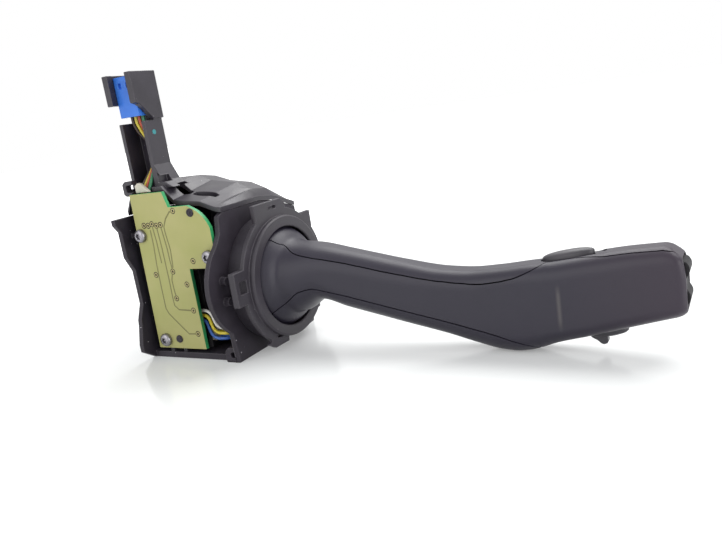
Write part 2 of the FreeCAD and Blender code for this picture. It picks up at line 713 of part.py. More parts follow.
back_line = roof_line(size(0), s.roof_back_fall, s.roof_step_front, s.roof_slope_front, s.roof_edge_front)
back_wall = new_sketch(housing, "back_wall", "XZ", -s.back_y)
outline(back_wall, [
    (-s.left_x, floor_z), (-s.wall_x, floor_z), (-s.wall_x, s.wall_top - s.roof_back_fall)]
    + roof_under(back_line)[1:])
pad(housing, back_wall, s.wall)
opening = new_sketch(housing, "dome_opening", "YZ", -s.wall_x)
ring(opening, 0, 0, s.dome_r + s.hole_clear)
pocket(housing, opening, s.wall)

# Screw lug at the foot of the right wall, and the triangle of wall cut away above it
foot = new_sketch(housing, "screw_lug", "XZ", s.foot_out)
outline(foot, [
    (-s.wall_x - s.foot_wide, floor_z), (-s.wall_x, floor_z), (-s.wall_x, floor_z + s.foot_high),
    (-s.wall_x - s.foot_wide + s.foot_cut, floor_z + s.foot_high),
    (-s.wall_x - s.foot_wide, floor_z + s.foot_high - s.foot_cut)])
pad(housing, foot, s.foot_deep, back=True)
foot_hole = new_sketch(housing, "screw_lug_hole", "XZ", s.foot_out)
ring(foot_hole, -s.foot_hole_x, -s.foot_hole_z, s.foot_hole_r)
pocket(housing, foot_hole, s.foot_deep)

# Snap hooks on the outer face of the right wall
hooks = new_sketch(housing, "snap_hooks", "YZ", -s.wall_x)
for hook_z in (s.hook_high, -s.hook_low):
    oval(hooks, -s.hook_y, hook_z, s.hook_long, s.hook_long * 0.9)
pad(housing, hooks, s.hook_out)


def boss(name, x, z, deep, rib_to, upright):
    """A boss under the board, after the rib that ties it to a wall or the floor."""
    web = new_sketch(housing, name + "_rib", "XZ", -board_back)
    if upright:
        rectangle(web, x - s.rib_thick / 2, x + s.rib_thick / 2, rib_to, z)
    else:
        rectangle(web, rib_to, x, z - s.rib_thick / 2, z + s.rib_thick / 2)
    pad(housing, web, deep, back=True)
    drawing = new_sketch(housing, name, "XZ", -board_back)
    ring(drawing, x, z, s.boss_r)
    pad(housing, drawing, deep, back=True)


def bore(name, x, z, radius, deep):
    """A hole into a boss from the board's side."""
    drawing = new_sketch(housing, name, "XZ", -board_back)
    ring(drawing, x, z, radius)
    pocket(housing, drawing, deep)


boss("high_boss", -screw_high_x, s.screw_high_z, s.boss_deep, inner_left - s.wall / 2, False)
boss("low_boss", -screw_low_x, -s.screw_low_z, s.boss_deep, floor_z + s.floor_thick / 2, True)
boss("side_boss", -s.screw_side_x, s.screw_side_z, s.side_boss_deep, inner_right + s.wall / 2, False)
boss("post_boss", -s.post_x, -s.post_z, s.boss_deep, floor_z + s.floor_thick / 2, True)
bore("high_bore", -screw_high_x, s.screw_high_z, s.screw_r, s.screw_long)
bore("low_bore", -screw_low_x, -s.screw_low_z, s.screw_r, s.screw_long)
bore("side_bore", -s.screw_side_x, s.screw_side_z, s.screw_r, s.side_boss_deep)
post = new_sketch(housing, "locating_post", "XZ", s.board_y + s.post_out)
ring(post, -s.post_x, -s.post_z, s.post_r)
pad(housing, post, s.board_thick + s.post_out + s.boss_deep / 2, back=True)
keep(housing)

# Circuit board: stepped top edge, rounded corner and a large corner cut-out, with its holes
board = new_body("circuit_board")
edge = new_sketch(board, "board_edge", "XZ", s.board_y)
corner = (s.board_corner_x - s.board_right) * (1 - math.sqrt(0.5))
outline(edge, [
    (-board_left, -s.board_low), (-s.cutout_x, -s.board_low), (-s.cutout_x, s.cutout_z),
    (-s.board_right, s.cutout_z), (-s.board_right, s.board_corner_z),
    (-s.board_right - corner, s.board_corner_z + corner * 2, "arc"),
    (-s.board_corner_x, s.board_shoulder - corner),
    (-s.board_corner_x - corner * 2, s.board_shoulder), (-s.board_step_x, s.board_shoulder),
    (-s.board_step_x - corner, s.board_top), (-board_left + corner, s.board_top)])
pad(board, edge, s.board_thick, back=True)
holes = new_sketch(board, "board_holes", "XZ", s.board_y)
ring(holes, -screw_high_x, s.screw_high_z, s.screw_r + s.screw_fit)
ring(holes, -screw_low_x, -s.screw_low_z, s.screw_r + s.screw_fit)
ring(holes, -s.screw_side_x, s.screw_side_z, s.screw_r + s.screw_fit)
ring(holes, -s.post_x, -s.post_z, s.post_r + s.post_fit)
pocket(board, holes, s.board_thick)
keep(board)


def board_screw(name, x, z, long):
    """A pan head over a plain shank."""
    head = rod(name + "_head", "Y", x, -s.board_y - s.screw_head, z, s.screw_head_r, s.screw_head)
    crown = doc.addObject("Part::Chamfer", name + "_crown")
    crown.Base = head
    crown.Edges = [(3, 0.7, 0.7)]
    shank = rod(name + "_shank", "Y", x, -s.board_y, z, s.screw_r, long)
    return joined(name, [crown, shank])


keep(grouped("board_screws", [
    board_screw("screw_high", -screw_high_x, s.screw_high_z, s.screw_long),
    board_screw("screw_low", -screw_low_x, -s.screw_low_z, s.screw_long),
    board_screw("screw_side", -s.screw_side_x, s.screw_side_z, s.board_thick + s.side_boss_deep)]))

# Cover: a thin roof lofted from its lip over the crest to its back edge, with the duct moulded on
cover = new_body("duct_cover")
sections = []
at_lip = (s.roof_step_front, s.roof_slope_front, s.roof_edge_front)
at_crest = (s.roof_step_crest, s.roof_slope_crest, s.roof_edge_crest)
for title, y, rise, fall, heights in (
        ("roof_lip", -s.roof_front, size(0), size(0), at_lip),
        ("roof_crest", s.roof_crest_y, s.roof_crest_rise, size(0), at_crest),
        ("roof_bend", s.roof_bend_y, s.roof_crest_rise / 2, s.roof_bend_fall, at_crest),
        ("roof_back", s.back_y, size(0), s.roof_back_fall, at_lip)):
    section = new_sketch(cover, title, "XZ", -y)
    top_line = roof_line(rise, fall, *heights)
    outline(section, top_line + roof_under(top_line))
    sections.append(section)
lofted(cover, sections)
duct_inner_left = -duct_left + s.duct_wall
duct_inner_right = -duct_right - s.duct_wall
duct_inner_back = -s.duct_back - s.duct_wall
duct_foot = s.roof_flat_z - s.roof_thick / 2
duct = new_sketch(cover, "duct_walls", "XY", duct_foot)
outline(duct, [
    (-duct_left, -s.duct_front), (-duct_left, -s.duct_back), (-duct_right, -s.duct_back),
    (-duct_right, -s.duct_front), (duct_inner_right, -s.duct_front),
    (duct_inner_right, duct_inner_back), (duct_inner_left, duct_inner_back),
    (duct_inner_left, -s.duct_front)])
pad(cover, duct, s.holder_low - duct_foot)
holder = new_sketch(cover, "holder_walls", "XY", s.holder_low)
lip_y = -s.duct_front - s.holder_extra / 3
holder_front = lip_y - s.holder_reach
outline(holder, [
    (-duct_left - s.holder_extra, holder_front),
    (-duct_left - s.holder_extra, -s.duct_back + s.holder_extra),
    (-duct_right + s.holder_extra, -s.duct_back + s.holder_extra),
    (-duct_right + s.holder_extra, holder_front),
    (duct_inner_right - s.holder_lip, holder_front), (duct_inner_right - s.holder_lip, lip_y),
    (duct_inner_right, lip_y), (duct_inner_right, duct_inner_back), (duct_inner_left, duct_inner_back),
    (duct_inner_left, lip_y), (duct_inner_left + s.holder_lip, lip_y),
    (duct_inner_left + s.holder_lip, holder_front)])
pad(cover, holder, s.holder_top - s.holder_low)

# Gap under the holder's left wall, and the slanting notch under its right wall
gap_low = s.holder_low - 0.5
gap = new_sketch(cover, "holder_gap", "YZ", -duct_left - s.holder_extra)
rectangle(gap, holder_front, -s.duct_back - s.duct_wall, gap_low, s.holder_low + s.holder_gap)
pocket(cover, gap, s.duct_wall + s.holder_extra + s.holder_lip, back=True)
notch = new_sketch(cover, "holder_notch", "YZ", duct_inner_right - s.holder_lip)
outline(notch, [
    (holder_front, gap_low), (lip_y + s.holder_reach * 2, gap_low),
    (lip_y - 0.6, s.holder_low + s.holder_gap - 0.6), (holder_front, s.holder_low + s.holder_gap)])
pocket(cover, notch, s.duct_wall + s.holder_lip + s.holder_extra, back=True)

# Gusset beside the duct, open towards the board
gusset = new_sketch(cover, "gusset", "XZ", s.duct_front)
outline(gusset, [
    (-duct_right - s.duct_wall / 2, duct_foot), (-gusset_out, duct_foot),
    (-roof_flat_x, s.roof_flat_z + 1.6), (-duct_right, s.gusset_high),
    (-duct_right - s.duct_wall / 2, s.gusset_high)])
pad(cover, gusset, s.duct_front - s.duct_back, back=True)
peep = new_sketch(cover, "gusset_window", "XZ", s.duct_front)
outline(peep, [
    (-duct_right + 0.8, s.roof_flat_z + 1.2),
    (-duct_right + 0.8 + s.gusset_window, s.roof_flat_z + 1.2),
    (-duct_right + 0.8, s.roof_flat_z + 1.2 + s.gusset_window * 1.2)])
pocket(cover, peep, (s.duct_front - s.duct_back) / 2)

# Way for the wires through the lip, and the lens-shaped slot with its rib
way = new_sketch(cover, "wire_way", "XY", s.holder_low - s.holder_gap)
rectangle(way, duct_inner_left, duct_inner_right, -s.roof_front - 1, duct_inner_back)
pocket(cover, way, s.holder_low - s.holder_gap - s.board_shoulder)
lens = new_sketch(cover, "roof_slot", "XY", s.roof_flat_z)
for left, right in (
        (-s.lens_x - s.lens_long / 2, -s.lens_x - 2.2), (-s.lens_x - 1.4, -s.lens_x + s.lens_long / 2)):
    outline(lens, [
        (left, -s.lens_y - s.lens_wide / 4), ((left + right) / 2, -s.lens_y - s.lens_wide / 2, "arc"),
        (right, -s.lens_y - s.lens_wide / 4), (right, -s.lens_y + s.lens_wide / 4),
        ((left + right) / 2, -s.lens_y + s.lens_wide / 2, "arc"), (left, -s.lens_y + s.lens_wide / 4)])
pocket(cover, lens, s.roof_flat_z - s.wall_top)
keep(cover)

# Plug: an open socket with two latch slots, and its terminals
plug_left = duct_inner_left + s.plug_fit
plug_right = duct_inner_right - s.plug_fit
plug_front = lip_y + s.plug_fit
plug_back = duct_inner_back - s.plug_fit
plug = new_body("connector_body")
base = new_sketch(plug, "plug_base", "XY", s.plug_low)
rectangle(base, plug_left, plug_right, plug_front, plug_back)
pad(plug, base, s.plug_top - s.plug_low)
well = new_sketch(plug, "plug_well", "XY", s.plug_top)
rectangle(well, plug_left + s.plug_wall, plug_right - s.plug_wall,
          plug_front + s.plug_wall, plug_back - s.plug_wall)
pocket(plug, well, s.plug_top - s.plug_low - s.plug_floor)
latches = new_sketch(plug, "plug_latches", "XZ", -plug_front)
plug_mid = (plug_left + plug_right) / 2
for side in (-1, 1):
    middle = plug_mid + side * s.plug_slot * 1.4
    rectangle(latches, middle - s.plug_slot / 2, middle + s.plug_slot / 2,
              s.plug_top - s.plug_slot * 3, s.plug_top - s.plug_slot * 1.5)
pocket(plug, latches, s.plug_wall)
keep(plug)
terminals = []
plug_mid_y = (plug_front + plug_back) / 2
for place_in_row in (-1.5, -0.5, 0.5, 1.5):
    pin_x = plug_mid + place_in_row * s.pin_pitch
    terminals.append(block(f"terminal_{len(terminals) + 1}",
                           (pin_x - s.pin_size / 2, pin_x + s.pin_size / 2),
                           (plug_mid_y - s.pin_size / 2, plug_mid_y + s.pin_size / 2),
                           (s.plug_low + s.plug_floor, s.plug_low + s.plug_floor + s.pin_up)))
keep(grouped("connector_terminals", terminals))

# Header for the plug's wires, on the board's inner side under the duct
header = block("board_header",
               (-header_x - s.header_wide / 2, -header_x + s.header_wide / 2),
               (board_back, board_back + s.header_deep),
               (s.header_z - s.header_tall / 2, s.header_z + s.header_tall / 2))
header.Label = "board_header"
keep(header)

# Swivel bracket: a plate behind the dome with two ears that carry the pivot pins
plate_front = -s.bracket_x + s.bracket_thick
ear_out = s.ear_y + s.ear_thick
plate = block("bracket_plate", (-s.bracket_x, plate_front), (-s.bracket_half, s.bracket_half),
              (floor_z + s.floor_thick, s.wall_top - s.floor_thick * 3))
bracket_parts = [plate]
pin_holes = []
for side, ear_start in (("near", -ear_out), ("far", s.ear_y)):
    bracket_parts.append(block(
        f"{side}_ear", (plate_front, -s.pivot_back), (ear_start, ear_start + s.ear_thick),
        (-s.ear_half, s.ear_half)))
    bracket_parts.append(
        rod(f"{side}_ear_end", "Y", -s.pivot_back, ear_start, 0, s.ear_half, s.ear_thick))
    pin_holes.append(
        rod(f"{side}_ear_bore", "Y", -s.pivot_back, ear_start, 0, s.pivot_r + s.pivot_fit, s.ear_thick))
keep(cut("swivel_bracket", joined("bracket_solid", bracket_parts), joined("bracket_bores", pin_holes)))

# Detent track: a block hollowed round the pivot, with a notch for each stop of the lever
track_body = new_body("detent_track")
track = new_sketch(track_body, "track", "XZ", s.track_half_y)
track_end = s.pivot_back + root(s.track_r * s.track_r - s.track_half_z * s.track_half_z)
outline(track, [
    (plate_front, -s.track_half_z), (-track_end, -s.track_half_z), (-s.pivot_back - s.track_r, 0, "arc"),
    (-track_end, s.track_half_z), (plate_front, s.track_half_z)])
pad(track_body, track, s.track_half_y * 2, back=True)
notches = new_sketch(track_body, "notches", "XZ", s.track_half_y)
for stop in range(-1, 4):
    turn = s.notch_step * stop
    ring(notches, -s.pivot_back - s.track_r * cosine(turn), -s.track_r * sine(turn), s.notch_r)
pocket(track_body, notches, s.track_half_y * 2)
keep(track_body)

# Carrier: the block between the two pivots, with the barrel of its detent plunger
barrel_end = s.pivot_back + s.carrier_half_x + s.snout_long
carrier_solid = joined("carrier_solid", [
    block("carrier_block", (-s.pivot_back - s.carrier_half_x, -s.pivot_back + s.carrier_half_x),
          (-s.carrier_half_y, s.carrier_half_y), (-s.carrier_half_z, s.carrier_half_z)),
    rod("barrel", "X", -barrel_end, 0, 0, s.snout_r, s.snout_long)])
barrel_floor = s.pivot_back + s.pivot_r * 2
carrier_cuts = joined("carrier_cuts", [
    rod("near_pin_seat", "Y", -s.pivot_back, -s.carrier_half_y, 0, s.pivot_r, s.pin_seat),
    rod("far_pin_seat", "Y", -s.pivot_back, s.carrier_half_y - s.pin_seat, 0, s.pivot_r, s.pin_seat),
    rod("pull_pin_bore", "Z", -s.pivot_back, 0, -s.carrier_half_z,
        s.pivot_r + s.pivot_fit, s.carrier_half_z * 2),
    rod("barrel_bore", "X", -barrel_end, 0, 0, s.plunger_r + s.plunger_fit, barrel_end - barrel_floor)])
keep(cut("swivel_carrier", carrier_solid, carrier_cuts))
pin_inside = s.carrier_half_y - s.pin_seat
keep(grouped("pivot_pins", [
    rod("near_pin", "Y", -s.pivot_back, -ear_out, 0, s.pivot_r, ear_out - pin_inside),
    rod("far_pin", "Y", -s.pivot_back, pin_inside, 0, s.pivot_r, ear_out - pin_inside)]))

# Detent plunger with a round nose, and its spring in the barrel
plunger_nose = s.pivot_back + s.plunger_reach - s.plunger_r
nose = doc.addObject("Part::Sphere", "plunger_nose")
tie(nose, "Radius", s.plunger_r)
place(nose, -plunger_nose)
keep(joined("detent_plunger", [
    nose, rod("plunger_shank", "X", -plunger_nose, 0, 0, s.plunger_r, s.plunger_long - s.plunger_r)]))
spring_start = plunger_nose - s.plunger_long + s.plunger_r
spring_long = spring_start - barrel_floor - s.spring_wire_r * 2
spring_r = s.plunger_r - s.spring_wire_r * 1.5


def coil(name, radius, wire, long, turns):
    """A coil spring along Z from its own origin."""
    helix = Part.makeHelix(long.number / turns.number, long.number, radius.number)
    section = Part.Wire([Part.makeCircle(
        wire.number, Vector(radius.number, 0, 0), Vector(0, 1, 0))])
    spring = doc.addObject("Part::Feature", name)
    spring.Shape = Part.Wire(helix.Edges).makePipeShell([section], True, True)
    spring.Label = name
    return spring


detent_spring = coil("detent_spring", spring_r, s.spring_wire_r, spring_long, s.spring_coils)
detent_spring.Placement = Placement(Vector(), TURNS["X"])
place(detent_spring, -spring_start + s.spring_wire_r)
keep(detent_spring)

# Fork: two ears on the pull pin, and a tongue that runs forward inside the lever's shell
fork_low = s.carrier_half_z + s.fork_gap
fork_high = fork_low + s.fork_ear


def inner_top(top):
    """Height of the tongue under a stretch of shell."""
    return top - s.shell_wall - s.core_gap


fork = new_body("lever_fork")
side_view = new_sketch(fork, "fork_ears", "XZ", s.fork_half_y)
crotch = -s.pivot_back + s.fork_crotch
outline(side_view, [
    (-s.pivot_back - s.fork_back, fork_low), (-s.pivot_back - s.fork_back, fork_high), (-2, fork_high),
    (s.throat_x - 2, s.neck_top - s.fork_ear - 1), (s.throat_x - 2, -s.neck_low + s.fork_ear - 1),
    (-2, -fork_high), (-s.pivot_back - s.fork_back, -fork_high),
    (-s.pivot_back - s.fork_back, -fork_low), (crotch, -fork_low), (crotch, fork_low)])
pad(fork, side_view, s.fork_half_y * 2, back=True)
tongue = new_sketch(fork, "fork_tongue", "XZ", s.core_half_y)
outline(tongue, [
    (crotch + 2, s.neck_half - 3), (s.neck_x, inner_top(s.neck_top)), (s.stem_x, inner_top(s.stem_top)),
    (s.core_end, inner_top(s.waist_top) + 2.2), (s.core_end, -inner_top(s.waist_low) + 2.4),
    (s.stem_x, -inner_top(s.stem_low)), (s.neck_x, -inner_top(s.neck_low)), (crotch + 2, -s.neck_half + 3)])
pad(fork, tongue, s.core_half_y * 2, back=True)
wire_slot = new_sketch(fork, "fork_windows", "XZ", s.fork_half_y)
rectangle(wire_slot, s.throat_x, s.neck_x + 3, size(-3), size(4))
rectangle(wire_slot, s.stem_x - 4, s.core_end - 5, size(-6.5), size(1))
pocket(fork, wire_slot, s.fork_half_y * 2)
eye = new_sketch(fork, "fork_eye", "XY", -fork_high)
ring(eye, -s.pivot_back, 0, s.pivot_r)
pocket(fork, eye, fork_high * 2, back=True)
keep(fork)
pull_pin = rod("pull_pin", "Z", -s.pivot_back, 0, -fork_high, s.pivot_r, fork_high * 2)
pull_pin.Label = "pull_pin"
keep(pull_pin)

# Lever: one form lofted from the dome to the tip, hollowed, opened for its controls and split at the
# seams. Each station has its place, top, underside and half width, and half its flats above and below.
STATIONS = [
    (s.throat_x, s.throat_half, s.throat_half, s.throat_half, size(0.2), size(0.2)),
    (s.neck_x, s.neck_top, s.neck_low, s.neck_half, s.stem_flat, s.sole_flat),
    (s.stem_x, s.stem_top, s.stem_low, s.stem_half, s.stem_flat, s.sole_flat),
    (s.waist_x, s.waist_top, s.waist_low, s.waist_half, s.stem_flat, s.sole_flat),
    (s.belly_x, s.belly_top, s.belly_low, s.belly_half, s.belly_flat, s.sole_flat),
    (s.sole_x, s.sole_top, s.sole_low, s.belly_half, s.belly_flat, s.sole_flat),
    (s.rest_x, s.rest_top, s.table_drop, s.paddle_half, s.paddle_flat, s.sole_flat),
    (s.heel_x, s.heel_top, s.heel_low, s.paddle_half, s.paddle_flat, s.heel_flat),
    (s.paddle_x, s.paddle_top, s.paddle_low, s.paddle_half, s.paddle_flat, s.crease_flat),
    (s.grip_x, s.grip_top, s.grip_low, s.grip_half, s.grip_flat, s.crease_flat),
    (s.tip_x, s.tip_top, s.tip_low, s.tip_half, s.grip_flat, s.crease_flat)]


def lever_form(name, inset, last_x):
    """The lever's outer form, or its hollow when it is set in by the wall."""
    body = new_body(name)
    dome = s.dome_r - inset
    rim_x = -s.pivot_back + dome * cosine(s.dome_rim_angle)
    reach = s.pivot_back + s.dome_front
    mouth = root(dome * dome - reach * reach)
    half_turn = (s.dome_rim_angle.number + math.degrees(math.acos(reach.number / s.dome_r.number))) / 2
    cap = new_sketch(body, name + "_dome", "XZ")
    outline(cap, [
        (rim_x - inset, 0), (s.dome_front, 0), (s.dome_front, mouth),
        (-s.pivot_back + dome * cosine(half_turn), dome * sine(half_turn), "arc"),
        (rim_x, dome * sine(s.dome_rim_angle))]
        + ([(rim_x - inset, dome * sine(s.dome_rim_angle))] if inset else []))
    turned(body, cap, "X")
    drawings = [new_sketch(body, name + "_station", "YZ", s.dome_front)]
    rounded(drawings[0], mouth, mouth, -mouth, mouth - 0.05, mouth - 0.05)
    for x, top, low, half, flat_top, flat_low in STATIONS:
        drawing = new_sketch(body, name + "_station", "YZ", last_x if x is s.tip_x else x)
        rounded(drawing, half - inset, top - inset, inset - low,
                half - flat_top - inset, half - flat_low - inset)
        drawings.append(drawing)
    lofted(body, drawings)
    return body


whole = lever_form("lever_form", 0, s.tip_x)
hollow = lever_form("lever_hollow", s.shell_wall, s.tip_x - s.tip_wall)

# Recess and slot for the slide, hole for the button, mouth and axle holes for the rocker
slide_way = new_body("slide_way", s.slide_x, s.slide_y, s.slide_z)
slide_way.Placement = Placement(slide_way.Placement.Base, Rotation(Vector(0, -1, 0), s.slide_tilt.number))
tie(slide_way, "Placement.Rotation.Angle", s.slide_tilt)
recess = new_sketch(slide_way, "slide_recess", "XY", -s.slide_sunk - 0.1)
oval(recess, s.slide_travel / 2, 0,
     s.slide_long + s.slide_travel + s.slide_fit * 2, s.slide_wide + s.slide_fit * 2)
pad(slide_way, recess, s.slide_rise * 2)
track_slot = new_sketch(slide_way, "slide_slot", "XY", -s.slide_sunk)
oval(track_slot, s.slide_travel / 2, 0,
     s.slide_stem + s.slide_travel + s.slide_fit * 2, s.slide_stem_wide + s.slide_fit)
pad(slide_way, track_slot, s.shell_wall * 2, back=True)
push_hole = new_body("push_hole", s.push_x, s.push_y, -s.push_z)
push_hole.Placement = Placement(push_hole.Placement.Base, Rotation(Vector(0, -1, 0), s.push_tilt.number))
tie(push_hole, "Placement.Rotation.Angle", s.push_tilt)
push_edge = new_sketch(push_hole, "push_edge", "XY", -s.push_nib)
oval(push_edge, 0, 0, s.push_long + s.push_fit * 2, s.push_wide + s.push_fit * 2)
pad(push_hole, push_edge, s.push_nib * 2 + s.shell_wall / 2)
mouth_half = s.rocker_half + s.rocker_side
mouth_low = -s.rocker_axle_z - s.rocker_reach - s.rocker_fit
mouth_high = -s.rocker_axle_z + s.rocker_reach + s.rocker_fit
tip_mouth = block("tip_mouth", (s.tip_x - s.tip_wall - 1, s.tip_x + 1),
                  (-mouth_half, mouth_half), (mouth_low, mouth_high))
axle_half = s.rocker_half + s.rocker_axle_long
axle_holes = rod("axle_holes", "Y", s.rocker_axle_x, -axle_half - 0.1, -s.rocker_axle_z,
                 s.rocker_axle_r + s.pivot_fit, axle_half * 2 + 0.2)
shell = cut("lever_shell", whole, joined("lever_cuts", [hollow, slide_way, push_hole, tip_mouth, axle_holes]))


def seam_block(name, grow, front):
    """The stretch of shell in front of the parting plane and between the seams."""
    body = new_body(name)
    seams = new_sketch(body, name + "_seams", "XZ", front)
    past = s.tip_x + 5
    outline(seams, [
        (size(-9), s.dome_r - 2 + grow), (0.5, s.seam_high_neck + 3.9 + grow, "arc"),
        (s.throat_x + 1.6, s.seam_high_neck + grow), (s.neck_x + 1, s.seam_high_neck - 1 + grow, "arc"),
        (s.stem_x, s.seam_high_stem + grow), (s.waist_x, s.seam_high_waist + grow),
        (s.belly_x, -s.seam_high_rest + 0.8 + grow, "arc"), (s.rest_x - 5, -s.seam_high_rest + grow),
        (s.rest_x + 7, -s.seam_high_rest + 2 + grow, "arc"), (s.paddle_x, s.seam_high_crease + grow),
        (s.paddle_x + 5, s.grip_top + 5), (past, s.grip_top + 5), (past, -s.table_drop - 4),
        (s.paddle_x - 3, -s.table_drop - 4), (s.rest_x + 11.5, -s.seam_low_rest - 2.8 - grow),
        (s.rest_x + 5, -s.seam_low_rest - 1.9 - grow, "arc"), (s.rest_x - 3, -s.seam_low_rest + 0.8 - grow),
        (s.waist_x, -s.seam_low_waist - grow), (s.neck_x + 3.7, -s.seam_low_neck - 0.8 - grow),
        (s.neck_x - 0.6, -s.seam_low_neck + 0.1 - grow, "arc"),
        (s.throat_x + 3, -s.seam_low_neck - 0.6 - grow),
        (s.throat_x - 1.5, -s.seam_low_neck - 3.4 - grow, "arc"), (size(-2), -s.seam_low_neck - 7.3 - grow),
        (size(-9), -s.seam_low_neck - 12 - grow)])
    pad(body, seams, s.dome_r, back=False)
    return body


near_side = seam_block("near_side", size(0), s.split_y)
near_side_grown = seam_block("near_side_grown", s.seam_gap, s.split_y - s.seam_gap)
keep(common("lever_front_shell", shell, near_side))
seats = joined("inner_board_seats", [
    rod("left_seat", "Y", s.inner_left + 6, s.inner_board_y + s.inner_board, -s.rocker_axle_z * 2.4, 1.5,
        s.paddle_half - s.shell_wall / 2 - s.inner_board_y - s.inner_board),
    rod("right_seat", "Y", s.grip_x, s.inner_board_y + s.inner_board, -s.rocker_axle_z * 1.2, 1.5,
        s.grip_half - s.shell_wall / 2 - s.inner_board_y - s.inner_board)])
keep(joined("lever_rear_shell", [cut("rear_half", shell, near_side_grown), seats]))

# Interval slide: a crowned oval cap, on a stem with a foot under the shell
slide = new_body("interval_slide", s.slide_x, s.slide_y, s.slide_z)
slide.Placement = Placement(slide.Placement.Base, Rotation(Vector(0, -1, 0), s.slide_tilt.number))
tie(slide, "Placement.Rotation.Angle", s.slide_tilt)
cap = new_sketch(slide, "slide_cap", "XY", -s.slide_sunk)
oval(cap, 0, 0, s.slide_long, s.slide_wide)
shoulder = new_sketch(slide, "slide_shoulder", "XY", s.slide_rise / 2)
oval(shoulder, 0, 0, s.slide_long, s.slide_wide)
crown = new_sketch(slide, "slide_crown_edge", "XY", s.slide_rise)
oval(crown, 0, 0, s.slide_long - s.slide_crown * 2, s.slide_wide - s.slide_crown * 2)
lofted(slide, [cap, shoulder, crown])
stem = new_sketch(slide, "slide_stem_section", "XY", -s.slide_sunk)
oval(stem, 0, 0, s.slide_stem, s.slide_stem_wide)
foot_top = s.shell_wall + s.seam_gap
pad(slide, stem, foot_top + s.slide_foot - s.slide_sunk, back=True)
foot_plate = new_sketch(slide, "slide_foot_plate", "XY", -foot_top - s.slide_foot)
oval(foot_plate, 0, 0, s.slide_stem + 3, s.slide_stem_wide + 2.2)
pad(slide, foot_plate, s.slide_foot)
keep(slide)

# Push button: an oval plunger with a nib outside and a rim inside that keeps it in the shell
push = new_body("reset_button", s.push_x, s.push_y, -s.push_z)
push.Placement = Placement(push.Placement.Base, Rotation(Vector(0, -1, 0), s.push_tilt.number))
tie(push, "Placement.Rotation.Angle", s.push_tilt)
button_top = s.shell_wall + s.push_fit + s.push_rim
button = new_sketch(push, "push_cap", "XY", -s.push_proud)
oval(button, 0, 0, s.push_long, s.push_wide)
pad(push, button, s.push_proud + button_top)
rim = new_sketch(push, "push_rim_plate", "XY", s.shell_wall + s.push_fit)
oval(rim, 0, 0, s.push_long + s.push_rim * 2, s.push_wide)
pad(push, rim, s.push_rim)
nib = new_sketch(push, "push_nib_section", "XY", -s.push_nib)
oval(nib, -s.push_nib_x, 0, s.push_wide / 2, s.push_wide / 4)
pad(push, nib, s.push_nib)
keep(push)

# Rocker: two humps with a hollow between them, on an axle held by both shells
rocker_body = new_body("rocker_cap", s.rocker_axle_x, 0, -s.rocker_axle_z)
hump = s.rocker_out - s.rocker_axle_x
dip = s.rocker_waist - s.rocker_axle_x
back_x = s.rocker_back - s.rocker_axle_x
reach = s.rocker_reach
rocker_side = new_sketch(rocker_body, "rocker_outline", "XZ", s.rocker_half)
outline(rocker_side, [
    (back_x, -reach + 1.4), (dip - 1, -reach), (hump - 0.9, -reach + 0.4), (hump, -reach + 2, "arc"),
    (dip + 0.7, -reach + 4.4), (dip, 0, "arc"), (dip + 0.7, reach - 4.4), (hump, reach - 2, "arc"),
    (hump - 0.9, reach - 0.4), (dip - 1, reach), (back_x, reach - 1.4)])
pad(rocker_body, rocker_side, s.rocker_half * 2, back=True)
axle = rod("rocker_axle", "Y", s.rocker_axle_x, -axle_half, -s.rocker_axle_z, s.rocker_axle_r, axle_half * 2)
keep(joined("tip_rocker", [rocker_body, axle]))

# Board inside the lever and the small switches that the rocker and the button press
inner = new_body("lever_board")
plate_edge = new_sketch(inner, "lever_board_edge", "XZ", -s.inner_board_y)
outline(plate_edge, [
    (s.inner_left, -s.paddle_low + 4.6), (s.push_x - 8, -s.paddle_low + 7), (s.grip_x - 2, -s.grip_low + 6.5),
    (s.inner_right, -s.tip_low + 3.5), (s.inner_right, s.tip_top - 4), (s.slide_x + 12, s.tip_top - 6.4),
    (s.inner_left, s.rest_top - 4)])
pad(inner, plate_edge, s.inner_board, back=True)
keep(inner)
push_switch_z = -s.push_z + button_top + s.push_travel + s.push_fit + s.tact / 2 * sine(s.push_tilt)
switches = []
for x, z in ((s.inner_right - s.tact, -s.rocker_axle_z + s.tact),
             (s.inner_right - s.tact, -s.rocker_axle_z - s.tact * 2),
             (s.push_x - s.tact / 2, push_switch_z)):
    switches.append(block(f"switch_{len(switches) + 1}", (x, x + s.tact),
                          (s.inner_board_y - s.tact_high, s.inner_board_y), (z, z + s.tact)))
keep(grouped("lever_switches", switches))

# Wires: round cords of straight runs and tangent arcs, from the plug down the duct to the header,
# and a loop of three from the lever's header to the clip on the bracket
header_top = s.header_z + s.header_tall / 2
header_mid_y = board_back + s.header_deep / 2


